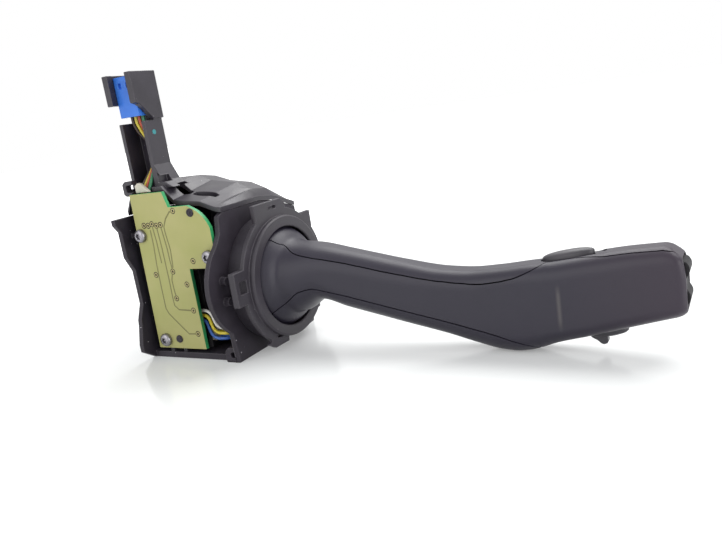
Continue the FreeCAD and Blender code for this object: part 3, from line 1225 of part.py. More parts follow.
def cord(name, points, radius):
    """A wire along hand-set points; every corner becomes an arc as large as its runs allow."""
    path = [Vector(*[size(part).number for part in point]) for point in points]
    edges = []
    start = path[0]
    tightest = None
    for before, corner_point, after in zip(path, path[1:], path[2:]):
        back = before - corner_point
        ahead = after - corner_point
        reach_back = 0.45 * min(back.Length, ahead.Length)
        back.normalize()
        ahead.normalize()
        turn = math.pi - back.getAngle(ahead)
        bend = reach_back / math.tan(turn / 2)
        tightest = bend if tightest is None else min(tightest, bend)
        entry = corner_point + back * reach_back
        leave = corner_point + ahead * reach_back
        inward = back + ahead
        inward.normalize()
        top = corner_point + inward * (bend / math.cos(turn / 2) - bend)
        edges.append(Part.LineSegment(start, entry).toShape())
        edges.append(Part.Arc(entry, top, leave).toShape())
        start = leave
    edges.append(Part.LineSegment(start, path[-1]).toShape())
    spine = Part.Wire(edges)
    first = path[1] - path[0]
    section = Part.Face(Part.Wire([Part.makeCircle(radius.number, path[0], first)]))
    wire = doc.addObject("Part::Feature", name)
    wire.Shape = spine.makePipe(section)
    wire.Label = name
    place(wire)
    expected = math.pi * radius.number ** 2 * spine.Length
    print(f"{name}: {spine.Length:.1f} mm, tightest bend {tightest:.1f} mm, "
          f"volume {wire.Shape.Volume / expected:.3f} of section times length")
    return keep(wire)


# Plug wires leave its floor in a row, and run down behind the duct's right wall side by side
bundle_x = duct_inner_right - s.wire_r * 3.75
bundle_y = duct_inner_back - s.wire_r * 3.75
for colour, column, sway in (("brown", -1.5, 0.12), ("yellow", -0.5, -0.1), ("red", 0.5, 0.08),
                             ("green", 1.5, -0.12)):
    wire_x = plug_mid + column * s.pin_pitch
    header_run = -header_x + column * s.pin_pitch
    beside = column * s.wire_r * 1.72
    cord("wire_" + colour, [
        (wire_x, plug_mid_y, s.plug_low),
        (wire_x, plug_mid_y, s.plug_low - 2.4),
        (wire_x + 1.3, plug_mid_y + 0.5, s.holder_low - 4.5),
        (bundle_x + beside + sway, bundle_y - beside, s.holder_low - 9),
        (bundle_x + beside - sway, bundle_y - beside, s.gusset_high + 1),
        (header_run, header_mid_y, header_top + 3.4),
        (header_run, header_mid_y, header_top)], s.wire_r)

# The lever's wires: a small header beside the cut-out, a clip on the bracket's plate and three loops
lever_header_right = -s.cutout_x - 3.4
lever_header = block("lever_header",
                     (lever_header_right - s.header_tall, lever_header_right),
                     (board_back, board_back + s.header_deep - 0.4),
                     (-s.cutout_z - s.header_tall / 2, -s.cutout_z + s.header_tall))
lever_header.Label = "lever_header"
keep(lever_header)
clip_x = plate_front
clip = block("wire_clip", (clip_x, clip_x + s.header_tall / 2),
             (-s.bracket_half, -s.bracket_half + s.header_tall),
             (-s.board_low + 1, -s.board_low + 1 + s.header_tall))
clip.Label = "wire_clip"
keep(clip)
clip_front = clip_x + s.header_tall / 2
for colour, step in (("white", 2), ("yellow", 1), ("blue", 0)):
    rise = step * s.wire_r
    cord("loop_" + colour, [
        (lever_header_right, header_mid_y - 0.2, -s.cutout_z - 1.6 + rise * 3.1),
        (lever_header_right + 2.8 + rise * 2.5, header_mid_y - 0.2, -s.cutout_z - 1.6 + rise * 3.1),
        (lever_header_right + 4.6 + rise * 2.5, header_mid_y, -s.cutout_z - 8.9 + rise * 3.6),
        (lever_header_right + 11 + rise, header_mid_y + 1.4, -s.cutout_z - 9.1 + rise * 3.3),
        (lever_header_right + 10.2 + rise, header_mid_y + 4.9, -s.board_low + 2.7 + rise * 2.9),
        (clip_front + 1.8, -s.bracket_half + 2.5, -s.board_low + 2.2 + rise * 2.7),
        (clip_front, -s.bracket_half + 2.5, -s.board_low + 2.2 + rise * 2.7)], s.wire_r)

doc.recompute()
for item in doc.Objects:
    if "Invalid" in item.State or "Error" in item.State:
        raise RuntimeError(f"{item.Name} failed: {item.State}")
os.makedirs("parts", exist_ok=True)
for piece in nodes:
    if piece.Shape.isNull() or not piece.Shape.isValid() or not piece.Shape.Solids:
        raise RuntimeError(f"{piece.Label} has no sound shape")
    piece.Shape.exportStep(f"parts/{piece.Label}.step")
print(len(nodes), "nodes written")
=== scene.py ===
import bmesh
import bpy
import json
import math
from mathutils import Matrix, Vector

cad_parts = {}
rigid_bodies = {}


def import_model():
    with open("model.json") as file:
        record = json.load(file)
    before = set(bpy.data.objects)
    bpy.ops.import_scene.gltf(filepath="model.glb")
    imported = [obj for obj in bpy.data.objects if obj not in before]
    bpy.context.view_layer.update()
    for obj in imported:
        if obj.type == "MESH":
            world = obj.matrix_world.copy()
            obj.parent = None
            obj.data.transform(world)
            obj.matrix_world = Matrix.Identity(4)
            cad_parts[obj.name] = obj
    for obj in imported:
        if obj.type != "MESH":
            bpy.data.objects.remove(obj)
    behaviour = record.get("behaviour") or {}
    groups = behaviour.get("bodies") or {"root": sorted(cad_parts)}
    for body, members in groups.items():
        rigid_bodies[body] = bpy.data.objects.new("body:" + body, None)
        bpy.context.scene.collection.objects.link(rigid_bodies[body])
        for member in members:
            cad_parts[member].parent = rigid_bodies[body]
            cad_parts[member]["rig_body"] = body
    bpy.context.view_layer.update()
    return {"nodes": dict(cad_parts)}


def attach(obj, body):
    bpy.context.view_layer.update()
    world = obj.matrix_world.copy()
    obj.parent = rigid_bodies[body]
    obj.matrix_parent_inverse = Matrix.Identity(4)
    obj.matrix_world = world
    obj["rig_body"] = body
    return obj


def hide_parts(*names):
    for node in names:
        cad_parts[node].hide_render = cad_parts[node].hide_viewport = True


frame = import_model()


# Table: a white lacquered top, lightly polished, so that it shows the part faintly. It is stage, not part
# of the switch: to the camera it is white, with the part's shadow on it.
def colour(code):
    """An sRGB hex value as the linear colour that shaders take."""
    parts = [int(code[index:index + 2], 16) / 255 for index in (1, 3, 5)]
    linear = [part / 12.92 if part <= 0.04045 else ((part + 0.055) / 1.055) ** 2.4 for part in parts]
    return (*linear, 1.0)


def add(owner, kind, sockets=(), **settings):
    """Adds one node to a material or the world, its sockets as values or as outputs of other nodes."""
    node = owner.node_tree.nodes.new(kind)
    for name, value in settings.items():
        setattr(node, name, value)
    for name, value in dict(sockets).items():
        if isinstance(value, bpy.types.NodeSocket):
            owner.node_tree.links.new(value, node.inputs[name])
        else:
            node.inputs[name].default_value = value
    return node


def blank(name):
    """A material with nothing in it yet."""
    material = bpy.data.materials.new(name)
    material.use_nodes = True
    material.node_tree.nodes.clear()
    return material


def finish_with(material, shader):
    """Leads a shader to the material's output."""
    add(material, "ShaderNodeOutputMaterial", {"Surface": shader.outputs[0]})
    return material


def seen_directly(owner):
    """1 where a ray comes from the camera, off a gloss or through glass, and 0 where it lights the part."""
    path = add(owner, "ShaderNodeLightPath")
    seen = path.outputs["Is Camera Ray"]
    for other in ("Is Glossy Ray", "Is Transmission Ray"):
        seen = add(owner, "ShaderNodeMath", {0: seen, 1: path.outputs[other]}, operation="MAXIMUM")
        seen = seen.outputs[0]
    return seen


def mesh_object(name, mesh, smooth=True):
    """A finished bmesh as an object in the scene."""
    data = bpy.data.meshes.new(name)
    bmesh.ops.recalc_face_normals(mesh, faces=mesh.faces)
    mesh.to_mesh(data)
    mesh.free()
    for face in data.polygons:
        face.use_smooth = smooth
    piece = bpy.data.objects.new(name, data)
    bpy.context.scene.collection.objects.link(piece)
    return piece


TABLE_REACH = 6
TABLE_BELOW = 0.00002
SHADE_NEAR = 0.13
SHADE_FAR = 0.45
GLOW_NEAR = 0.22
table_top = bmesh.new()
for along, across in ((-1, -1), (1, -1), (1, 1), (-1, 1)):
    table_top.verts.new((along * TABLE_REACH, across * TABLE_REACH, -TABLE_BELOW))
table_top.faces.new(table_top.verts)
table = mesh_object("table_top", table_top)
lacquer = blank("White lacquered table top")
white = add(lacquer, "ShaderNodeBsdfPrincipled", {"Base Color": colour("#F4F6F5"), "Roughness": 0.16})
spot_on_table = add(lacquer, "ShaderNodeNewGeometry").outputs["Position"]
away = add(lacquer, "ShaderNodeVectorMath", {0: spot_on_table}, operation="LENGTH")
level = add(lacquer, "ShaderNodeMapRange", {
    "Value": away.outputs["Value"], "From Min": SHADE_NEAR, "From Max": SHADE_FAR,
    "To Min": GLOW_NEAR, "To Max": 1.0})
level = add(lacquer, "ShaderNodeMath", {0: level.outputs["Result"], 1: seen_directly(lacquer)},
            operation="MULTIPLY")
glow = add(lacquer, "ShaderNodeEmission", {"Color": colour("#FFFFFF"), "Strength": level.outputs[0]})
finish_with(lacquer, add(lacquer, "ShaderNodeAddShader", {0: white.outputs[0], 1: glow.outputs[0]}))
table.data.materials.append(lacquer)

# Light: a bright window-like panel above the lever and behind it, a wide soft one in front on the board's
# side, and a plain pale room all round, which the camera and the glossy parts see as white.
ROOM_LEVEL = 0.34
LIT_POINT = Vector((0, 0, 0.04))
LAMPS = (("Window above", (0.10, 0.36, 0.66), (0.9, 0.45), 5.8),
         ("Soft front", (-0.25, -0.75, 0.45), (0.8, 0.8), 3.0),
         ("Soft right", (0.75, -0.25, 0.22), (0.5, 0.5), 2.4))
scene = bpy.context.scene
scene.view_settings.view_transform = "Standard"
world = bpy.data.worlds.new("Pale room")
scene.world = world
world.use_nodes = True
world.node_tree.nodes.clear()
lit = add(world, "ShaderNodeBackground", {"Color": colour("#F3F5F7"), "Strength": ROOM_LEVEL})
shown = add(world, "ShaderNodeBackground", {"Color": colour("#FFFFFF"), "Strength": 1.0})
either = add(world, "ShaderNodeMixShader", {0: seen_directly(world), 1: lit.outputs[0], 2: shown.outputs[0]})
add(world, "ShaderNodeOutputWorld", {"Surface": either.outputs[0]})
for name, place, size, watts in LAMPS:
    panel = bpy.data.lights.new(name, "AREA")
    panel.shape = "RECTANGLE"
    panel.size, panel.size_y = size
    panel.energy = watts
    lamp = bpy.data.objects.new(name, panel)
    lamp.location = place
    lamp.rotation_euler = (LIT_POINT - Vector(place)).to_track_quat("-Z", "Y").to_euler()
    scene.collection.objects.link(lamp)

# Camera: where the photograph was taken from, worked out from the edges that run along the lever and
# down the housing. Its focal length is 700 pixels in a frame 722 wide.
FOCAL_PIXELS = 700
FRAME_PIXELS = 722
lens = bpy.data.cameras.new("Photograph")
lens.sensor_width = 36.0
lens.lens = 36.0 * FOCAL_PIXELS / FRAME_PIXELS
camera = bpy.data.objects.new("Photograph", lens)
camera.matrix_world = Matrix((
    (0.8670, 0.0192, 0.4979, 0.11281),
    (0.4754, 0.2671, -0.8382, -0.20278),
    (-0.1491, 0.9635, 0.2224, 0.08162),
    (0, 0, 0, 1)))
scene.collection.objects.link(camera)
scene.camera = camera

# Housing and bezel: charcoal nylon filled with glass, moulded with an eroded finish, which looks dull
# and faintly mottled, with paler edges painted on as a highlight. Grains of pale dust lie on it. The
# housing is one moulding, and the bezel snaps onto its round opening.
WELD_REACH = 0.000003
FLAT_ENOUGH = math.radians(0.6)
MOTTLE_MM = 9.0
SPECK_MM = 2.6
DUSTY_PATCH_MM = 14.0
DUSTY_ABOVE = 0.48
EDGE_HIGHLIGHT_REACH = 0.0005


def rounded_copy(node, radius, angle=32, segments=2, crisp=20):
    """A CAD solid as it comes from a mould: welded, its flats merged, its edges rounded in millimetres."""
    solid = frame["nodes"][node]
    mesh = bmesh.new()
    mesh.from_mesh(solid.data)
    bmesh.ops.remove_doubles(mesh, verts=mesh.verts, dist=WELD_REACH)
    bmesh.ops.dissolve_limit(mesh, angle_limit=FLAT_ENOUGH, verts=mesh.verts, edges=mesh.edges)
    piece = mesh_object(node + "_shown", mesh)
    piece.data.set_sharp_from_angle(angle=math.radians(crisp))
    piece.data.materials.clear()
    bevel = piece.modifiers.new("Rounded edges", "BEVEL")
    bevel.width = radius / 1000
    bevel.segments = segments
    bevel.limit_method = "ANGLE"
    bevel.angle_limit = math.radians(angle)
    bevel.use_clamp_overlap = False
    bevel.harden_normals = True
    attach(piece, solid["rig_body"])
    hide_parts(node)
    return piece


def moulded_plastic(name, base, worn, roughness, grain_mm, grain_depth, dust=0.0, gloss=0.5, edge_highlight=0.0):
    """A moulded plastic: mottled colour, a painted highlight on its edges, a grain of its own size, and
    dust.
    """
    material = blank(name)
    place = add(material, "ShaderNodeTexCoord").outputs["Object"]
    mottle = add(material, "ShaderNodeTexNoise", {
        "Vector": place, "Scale": 1000 / MOTTLE_MM, "Detail": 5.0}).outputs["Fac"]
    tone = add(material, "ShaderNodeValToRGB", {"Fac": mottle})
    tone.color_ramp.elements[0].position = 0.3
    tone.color_ramp.elements[1].position = 0.75
    tone.color_ramp.elements[0].color = colour(base)
    tone.color_ramp.elements[1].color = colour(worn)
    paint = tone.outputs["Color"]
    grain = add(material, "ShaderNodeTexNoise", {
        "Vector": place, "Scale": 1000 / grain_mm, "Detail": 3.0, "Roughness": 0.65})
    shine = add(material, "ShaderNodeMapRange", {
        "Value": mottle, "From Min": 0.3, "From Max": 0.7,
        "To Min": roughness - 0.05, "To Max": roughness + 0.06})
    if dust:
        specks = add(material, "ShaderNodeTexVoronoi", {"Vector": place, "Scale": 1000 / SPECK_MM})
        near = add(material, "ShaderNodeMath", {0: specks.outputs["Distance"], 1: dust},
                   operation="LESS_THAN")
        patches = add(material, "ShaderNodeTexNoise", {"Vector": place, "Scale": 1000 / DUSTY_PATCH_MM})
        where = add(material, "ShaderNodeMath", {0: patches.outputs["Fac"], 1: DUSTY_ABOVE},
                    operation="GREATER_THAN")
        both = add(material, "ShaderNodeMath", {0: near.outputs[0], 1: where.outputs[0]},
                   operation="MULTIPLY")
        paint = add(material, "ShaderNodeMix", {0: both.outputs[0], 6: paint, 7: colour("#C9C4CC")},
                    data_type="RGBA").outputs[2]
    # Paler colour on the rounded edges, patchy with the mottle: a painted highlight.
    if edge_highlight:
        round_edge = add(material, "ShaderNodeBevel", {"Radius": EDGE_HIGHLIGHT_REACH}, samples=6)
        flat_side = add(material, "ShaderNodeNewGeometry").outputs["Normal"]
        bend = add(material, "ShaderNodeVectorMath", {0: round_edge.outputs["Normal"], 1: flat_side},
                   operation="DOT_PRODUCT")
        edge = add(material, "ShaderNodeMapRange", {
            "Value": bend.outputs["Value"], "From Min": 0.985, "From Max": 0.86, "To Max": edge_highlight})
        painted_edge_highlight = add(material, "ShaderNodeMath", {0: edge.outputs["Result"], 1: mottle},
                      operation="MULTIPLY")
        paint = add(material, "ShaderNodeMix", {0: painted_edge_highlight.outputs[0], 6: paint, 7: colour("#A5A0A6")},
                    data_type="RGBA").outputs[2]
    bumps = add(material, "ShaderNodeBump", {
        "Height": grain.outputs["Fac"], "Strength": 0.55, "Distance": grain_depth / 1000})
    return finish_with(material, add(material, "ShaderNodeBsdfPrincipled", {
        "Base Color": paint, "Roughness": shine.outputs["Result"], "Normal": bumps.outputs["Normal"],
        "IOR": 1.5, "Specular IOR Level": gloss}))


eroded_nylon = moulded_plastic("Glass-filled nylon, eroded mould finish", "#28232B", "#37323B",
                               0.55, 0.45, 0.05, dust=0.075, gloss=0.35, edge_highlight=0.7)
housing = rounded_copy("housing", 0.25)
housing.data.materials.append(eroded_nylon)
ring_nylon = moulded_plastic("Glass-filled nylon, eroded, ring", "#2B272E", "#3A363E", 0.5, 0.45, 0.05,
                             dust=0.04, gloss=0.45, edge_highlight=0.8)
bezel = rounded_copy("bezel_ring", 0.3)
bezel.data.materials.append(ring_nylon)

# Cover: the same nylon from a smoother mould, so that its thin roof catches the light as a grey sheen.
# The duct and the plug's holder are moulded on it, with a dab of paint from the maker's inspection.
def at(x, y, z):
    """A place in millimetres, from the lever's axis just ahead of the bezel, as one in the part's frame."""
    return Vector((x - 38.5, y + 3.9, z + 25.8)) / 1000


def clouded(name, dark, light, cloud_mm, roughness, metallic=0.0):
    """A smooth finish whose colour drifts between two tones, over patches of a size in millimetres."""
    material = blank(name)
    place = add(material, "ShaderNodeTexCoord").outputs["Object"]
    cloud = add(material, "ShaderNodeTexNoise", {"Vector": place, "Scale": 1000 / cloud_mm})
    tone = add(material, "ShaderNodeMix", {0: cloud.outputs["Fac"], 6: colour(dark), 7: colour(light)},
               data_type="RGBA")
    return finish_with(material, add(material, "ShaderNodeBsdfPrincipled", {
        "Base Color": tone.outputs[2], "Roughness": roughness, "Metallic": metallic}))


# The cover's edges take a fainter painted highlight.
smooth_nylon = moulded_plastic("Glass-filled nylon, smooth mould finish", "#29252D", "#35313A",
                               0.38, 0.8, 0.03, dust=0.03, edge_highlight=0.35)
cover = rounded_copy("duct_cover", 0.22, crisp=8)
cover.data.materials.append(smooth_nylon)
DAB_CENTRE = at(-40.96, -14.2, 59.2)
DAB_R = 0.0009
WAVER_SHARE = 0.15
WAVER_PITCH = 900
dab = bmesh.new()
bmesh.ops.create_circle(dab, cap_ends=True, segments=18, radius=DAB_R)
for corner in dab.verts:
    wavering = 1 + WAVER_SHARE * math.sin(WAVER_PITCH * corner.co.y)
    corner.co = DAB_CENTRE + Vector((0, corner.co.x * wavering, corner.co.y))
paint_dab = mesh_object("inspection_dab", dab)
paint_dab.data.materials.append(clouded("Inspection paint, dabbed", "#2E7F86", "#3F9AA0", 0.8, 0.35))
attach(paint_dab, "switch_body")


# Duct clip: a C-shaped hook moulded on the cover's left end, open to the right, which holds the wires
# where they pass behind the board.
def profile_piece(name, ends, smooth=False):
    """A profile drawn at both ends of its width and joined between them, with its edges rounded."""
    mesh = bmesh.new()
    loops = [[mesh.verts.new(corner) for corner in end] for end in ends]
    for step in range(len(loops[0])):
        mesh.faces.new((loops[0][step - 1], loops[0][step], loops[1][step], loops[1][step - 1]))
    for loop in loops:
        mesh.faces.new(loop)
    piece = mesh_object(name, mesh, smooth=smooth)
    edge = piece.modifiers.new("Rounded edges", "BEVEL")
    edge.width = 0.0003
    edge.segments = 3
    edge.limit_method = "ANGLE"
    return piece


HOOK = ((-49.6, 42.9), (-53.1, 43.0), (-54.5, 42.0), (-54.5, 38.2), (-53.5, 37.4), (-50.3, 37.4),
        (-50.3, 38.8), (-52.5, 38.9), (-52.9, 39.5), (-52.9, 40.9), (-52.3, 41.5), (-49.6, 41.5))
HOOK_DEPTHS = (-22.6, -19.6)
duct_clip = profile_piece("duct_clip", [[at(x, depth, z) for x, z in HOOK] for depth in HOOK_DEPTHS])
duct_clip.data.materials.append(smooth_nylon)
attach(duct_clip, "switch_body")

# Circuit board: glass and epoxy laminate with a translucent green mask, olive where copper lies under
# it and deep green on its cut edges. The tracks show as low ridges and end in plated holes.
BOARD_FACE = -24.0
mask = blank("Solder mask over copper, screened")
mask_place = add(mask, "ShaderNodeTexCoord").outputs["Object"]
mask_cloud = add(mask, "ShaderNodeTexNoise", {"Vector": mask_place, "Scale": 1000 / 16.0, "Detail": 4.0})
mask_tone = add(mask, "ShaderNodeValToRGB", {"Fac": mask_cloud.outputs["Fac"]})
mask_tone.color_ramp.elements[0].position = 0.32
mask_tone.color_ramp.elements[0].color = colour("#A9A965")
mask_tone.color_ramp.elements[1].position = 0.7
mask_tone.color_ramp.elements[1].color = colour("#B3AF72")
facing = add(mask, "ShaderNodeNewGeometry").outputs["Normal"]
facing = add(mask, "ShaderNodeSeparateXYZ", {"Vector": facing})
flat_on = add(mask, "ShaderNodeMath", {0: facing.outputs["Y"]}, operation="ABSOLUTE")
is_face = add(mask, "ShaderNodeMath", {0: flat_on.outputs[0], 1: 0.6}, operation="GREATER_THAN")
mask_paint = add(mask, "ShaderNodeMix", {
    0: is_face.outputs[0], 6: colour("#35A062"), 7: mask_tone.outputs["Color"]}, data_type="RGBA")
weave = add(mask, "ShaderNodeTexNoise", {"Vector": mask_place, "Scale": 1000 / 0.7, "Detail": 2.0})
weave_bump = add(mask, "ShaderNodeBump", {
    "Height": weave.outputs["Fac"], "Strength": 0.3, "Distance": 0.00002})
finish_with(mask, add(mask, "ShaderNodeBsdfPrincipled", {
    "Base Color": mask_paint.outputs[2], "Roughness": 0.42, "IOR": 1.5,
    "Normal": weave_bump.outputs["Normal"]}))
board = rounded_copy("circuit_board", 0.08)
board.data.materials.append(mask)

TRACKS = (
    ((-43.5, 24.7), (-43.5, 18.6), (-44.1, 11.6), (-44.3, 1.6), (-44.3, -5.6), (-43.3, -7.6),
     (-37.6, -13.2), (-35.2, -15.5), (-31.6, -15.4)),
    ((-42.1, 26.0), (-41.6, 20.0), (-41.4, 12.0)),
    ((-40.0, 25.4), (-39.6, 17.6), (-39.5, 5.6), (-39.6, -2.0), (-39.5, -4.4), (-37.7, -6.0),
     (-31.4, -6.3)),
    ((-37.9, 25.5), (-37.1, 17.6), (-37.0, 12.5), (-36.7, 9.5)),
    ((-31.2, 31.0), (-32.3, 30.7), (-34.7, 28.4), (-36.4, 25.5), (-36.3, 22.9), (-35.6, 16.8),
     (-36.2, 10.2)),
    ((-37.2, 8.0), (-38.1, 5.5), (-38.1, 2.4), (-37.8, -0.8)))
TRACK_SECTION = ((-0.3, 0.0), (-0.2, 0.07), (0.2, 0.07), (0.3, 0.0))
tracks = bmesh.new()
for route in TRACKS:
    rows = []
    for index, (x, z) in enumerate(route):
        before = route[max(index - 1, 0)]
        after = route[min(index + 1, len(route) - 1)]
        run = Vector((after[0] - before[0], after[1] - before[1])).normalized()
        across = Vector((-run.y, run.x))
        rows.append([tracks.verts.new(at(x + across.x * side, BOARD_FACE - out, z + across.y * side))
                     for side, out in TRACK_SECTION])
    for near, far in zip(rows, rows[1:]):
        for low in range(3):
            tracks.faces.new((near[low], near[low + 1], far[low + 1], far[low]))
board_tracks = mesh_object("board_tracks", tracks)
board_tracks.data.materials.append(clouded("Solder mask over a track", "#737140", "#827F48", 5.0, 0.4))
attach(board_tracks, "switch_body")


# Plated holes: a tinned ring round each drilled hole, standing just above the mask, with a dark ring of
# bare laminate round it and the shade of the hole inside, both painted in one dark colour as shade.
def turned_rings(mesh, centre, profile, segments=20):
    """Sweeps a profile of radius and height off the board round a centre on the board's face."""
    loops = []
    for radius, out in profile:
        loops.append([])
        for step in range(segments):
            around = math.tau * step / segments
            loops[-1].append(mesh.verts.new(at(
                centre[0] + radius * math.cos(around), BOARD_FACE - out,
                centre[1] + radius * math.sin(around))))
    for inner, outer in zip(loops, loops[1:]):
        for step in range(segments):
            mesh.faces.new((inner[step - 1], inner[step], outer[step], outer[step - 1]))
    return loops


HOLES = ((-46.2, 26.4), (-44.1, 26.3), (-42.1, 26.8), (-40.0, 26.1), (-37.9, 26.3), (-30.5, 31.0),
         (-25.8, 12.4), (-45.6, 7.6), (-36.7, 8.7), (-31.1, 3.7), (-37.7, -1.6), (-30.6, -6.3),
         (-30.8, -15.4))
TINNED_RING = ((0.85, 0.0), (0.8, 0.09), (0.5, 0.09), (0.46, 0.02))
BARE_RING = ((1.15, 0.0), (1.1, 0.02), (0.84, 0.02))
HOLE_SHADE = ((0.47, 0.025), (0.02, 0.02))
rings = bmesh.new()
pits = bmesh.new()
for centre in HOLES:
    turned_rings(rings, centre, TINNED_RING)
    turned_rings(pits, centre, BARE_RING)
    pit = turned_rings(pits, centre, HOLE_SHADE)
    pits.faces.new(pit[-1])
tin = clouded("Tinned copper, hot air levelled", "#8C8250", "#C9BE86", 0.5, 0.35, metallic=0.5)
dark = clouded("Drilled laminate in shade", "#1B1A12", "#33301F", 0.4, 0.7)
for name, mesh, finish in (("plated_holes", rings, tin), ("drilled_holes_shade", pits, dark)):
    round_holes = mesh_object(name, mesh)
    round_holes.data.materials.append(finish)
    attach(round_holes, "switch_body")

# Staked posts: two nylon posts of the housing come through the board and are melted over into low
# rimmed heads, which look black and dull.
POSTS = ((-22.5, 29.9), (-40.5, -17.6))
STAKED_HEAD = ((1.5, 0.0), (1.45, 0.4), (1.15, 0.7), (0.8, 0.25), (0.55, 0.2), (0.4, 0.75), (0.1, 0.85))
stakes = bmesh.new()
for centre in POSTS:
    top = turned_rings(stakes, centre, STAKED_HEAD, segments=28)
    stakes.faces.new(top[-1])
posts = mesh_object("staked_posts", stakes)
posts.data.materials.append(eroded_nylon)
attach(posts, "switch_body")

# Board screws: zinc plated steel pan heads with a six-lobed socket, cold headed, bright with faint
# turning marks, over plain shanks in the bosses. The screw by the right wall is the short one.
SCREWS = ((-48.5, 22.7, 0.2, 6.0), (-47.1, -18.0, 0.6, 6.0), (-17.8, 13.7, 0.9, 3.6))
SHANK_R = 1.2
PAN_HEAD = ((2.5, 0.0), (2.5, 0.85), (2.36, 1.3), (2.05, 1.62), (1.65, 1.82))
SOCKET = ((1.0, 1.9), (0.94, 1.8), (0.9, 0.9), (0.2, 0.7))
SOCKET_R = 1.12
LOBE = 0.17
HEAD_STEPS = 48
heads = bmesh.new()
for x, z, turn, shank in SCREWS:
    shank_line = ((SHANK_R, -shank), (SHANK_R, 0.0))
    loops = turned_rings(heads, (x, z), shank_line + PAN_HEAD, segments=HEAD_STEPS)
    for share, out in SOCKET:
        loops.append([])
        for step in range(HEAD_STEPS):
            around = math.tau * step / HEAD_STEPS
            radius = (SOCKET_R + LOBE * math.cos(6 * around + turn)) * share
            loops[-1].append(heads.verts.new(at(
                x + radius * math.cos(around), BOARD_FACE - out, z + radius * math.sin(around))))
    for inner, outer in zip(loops[-len(SOCKET) - 1:], loops[-len(SOCKET):]):
        for step in range(HEAD_STEPS):
            heads.faces.new((inner[step - 1], inner[step], outer[step], outer[step - 1]))
    heads.faces.new(loops[0])
    heads.faces.new(loops[-1])
screws = mesh_object("screws_shown", heads)
screws.data.set_sharp_from_angle(angle=math.radians(35))
zinc = blank("Steel, zinc plated and cold headed")
zinc_place = add(zinc, "ShaderNodeTexCoord").outputs["Object"]
zinc_marks = add(zinc, "ShaderNodeTexNoise", {
    "Vector": zinc_place, "Scale": 1000 / 0.25, "Detail": 3.0}).outputs["Fac"]
zinc_rough = add(zinc, "ShaderNodeMapRange", {"Value": zinc_marks, "To Min": 0.22, "To Max": 0.42})
zinc_bump = add(zinc, "ShaderNodeBump", {"Height": zinc_marks, "Strength": 0.25, "Distance": 0.00001})
finish_with(zinc, add(zinc, "ShaderNodeBsdfPrincipled", {
    "Base Color": colour("#8D8B90"), "Metallic": 1.0, "Roughness": zinc_rough.outputs["Result"],
    "Normal": zinc_bump.outputs["Normal"]}))
screws.data.materials.append(zinc)
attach(screws, "switch_body")
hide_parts("board_screws")

# Plug: the harness socket, moulded in blue polyester with a slight gloss and held in the cover's holder.
# Its four pins stand inside it and are tinned like the rings on the board.
blue_polyester = moulded_plastic("Blue polyester, polished mould", "#2F6FD6", "#4583E6", 0.34, 0.6, 0.01)
plug = rounded_copy("connector_body", 0.12)
plug.data.materials.append(blue_polyester)
terminals = rounded_copy("connector_terminals", 0.08)
terminals.data.materials.append(tin)

# Headers and the wire clip: natural nylon, unfilled, milky and soft in its gloss. The headers are on the
# board and by the lever's bearing, and the clip holds the lever's wires.
natural_nylon = moulded_plastic("Natural nylon, moulded", "#CFC9B8", "#DED9CB", 0.45, 0.6, 0.02)
for node in ("board_header", "lever_header", "wire_clip"):
    header = rounded_copy(node, 0.2)
    header.data.materials.append(natural_nylon)

# Header's latch: a sloped tongue that stands above the board's top edge, milky white beside the duct
# clip, moulded in the same nylon.
LATCH = ((-48.9, 38.3), (-48.9, 41.0), (-47.3, 42.0), (-46.1, 41.6), (-42.3, 38.3))
LATCH_DEPTHS = (-21.9, -20.3)
header_latch = profile_piece("header_latch", [[at(x, depth, z) for x, z in LATCH] for depth in LATCH_DEPTHS])
header_latch.data.materials.append(natural_nylon)
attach(header_latch, "switch_body")

# Wires: stranded copper in thin smooth insulation, extruded, so each has one even colour and a soft
# gloss. Four run down the duct from the plug and three loop behind the board's cut-out.
WIRES = (("wire_brown", "#2E1F18", "#3A281F"), ("wire_yellow", "#D8C43A", "#E6D65A"),
         ("wire_red", "#B8452C", "#CC5A3C"), ("wire_green", "#1F6B45", "#2B7D53"),
         ("loop_white", "#DAD6D0", "#EDEAE4"), ("loop_yellow", "#DFC72E", "#EBD84C"),
         ("loop_blue", "#3A63B8", "#4E79CC"))
for node, base, light in WIRES:
    wire = rounded_copy(node, 0.02, angle=60, crisp=60)
    hue = node.split("_")[1]
    insulation = clouded(f"{hue.capitalize()} PVC insulation, extruded {node}", base, light, 2.5, 0.36)
    wire.data.materials.append(insulation)

# Swivel bracket and fork: black glass-filled nylon, moulded, dull and stiff. The bracket is fixed in
# the housing, and the fork is the lever's root.
filled_nylon = moulded_plastic("Black glass-filled nylon, structural", "#201F22", "#2C2A2E", 0.58, 0.5, 0.03)
for node in ("swivel_bracket", "lever_fork"):
    strong = rounded_copy(node, 0.25)
    strong.data.materials.append(filled_nylon)

# Carrier and detent track: white acetal, moulded, waxy and low in friction. The carrier swivels in the
# bracket, and the notches of the track give its steps.
acetal = moulded_plastic("White acetal, moulded", "#DDD9CE", "#E8E5DC", 0.38, 0.7, 0.01)
for node in ("swivel_carrier", "detent_track"):
    runner = rounded_copy(node, 0.2)
    runner.data.materials.append(acetal)

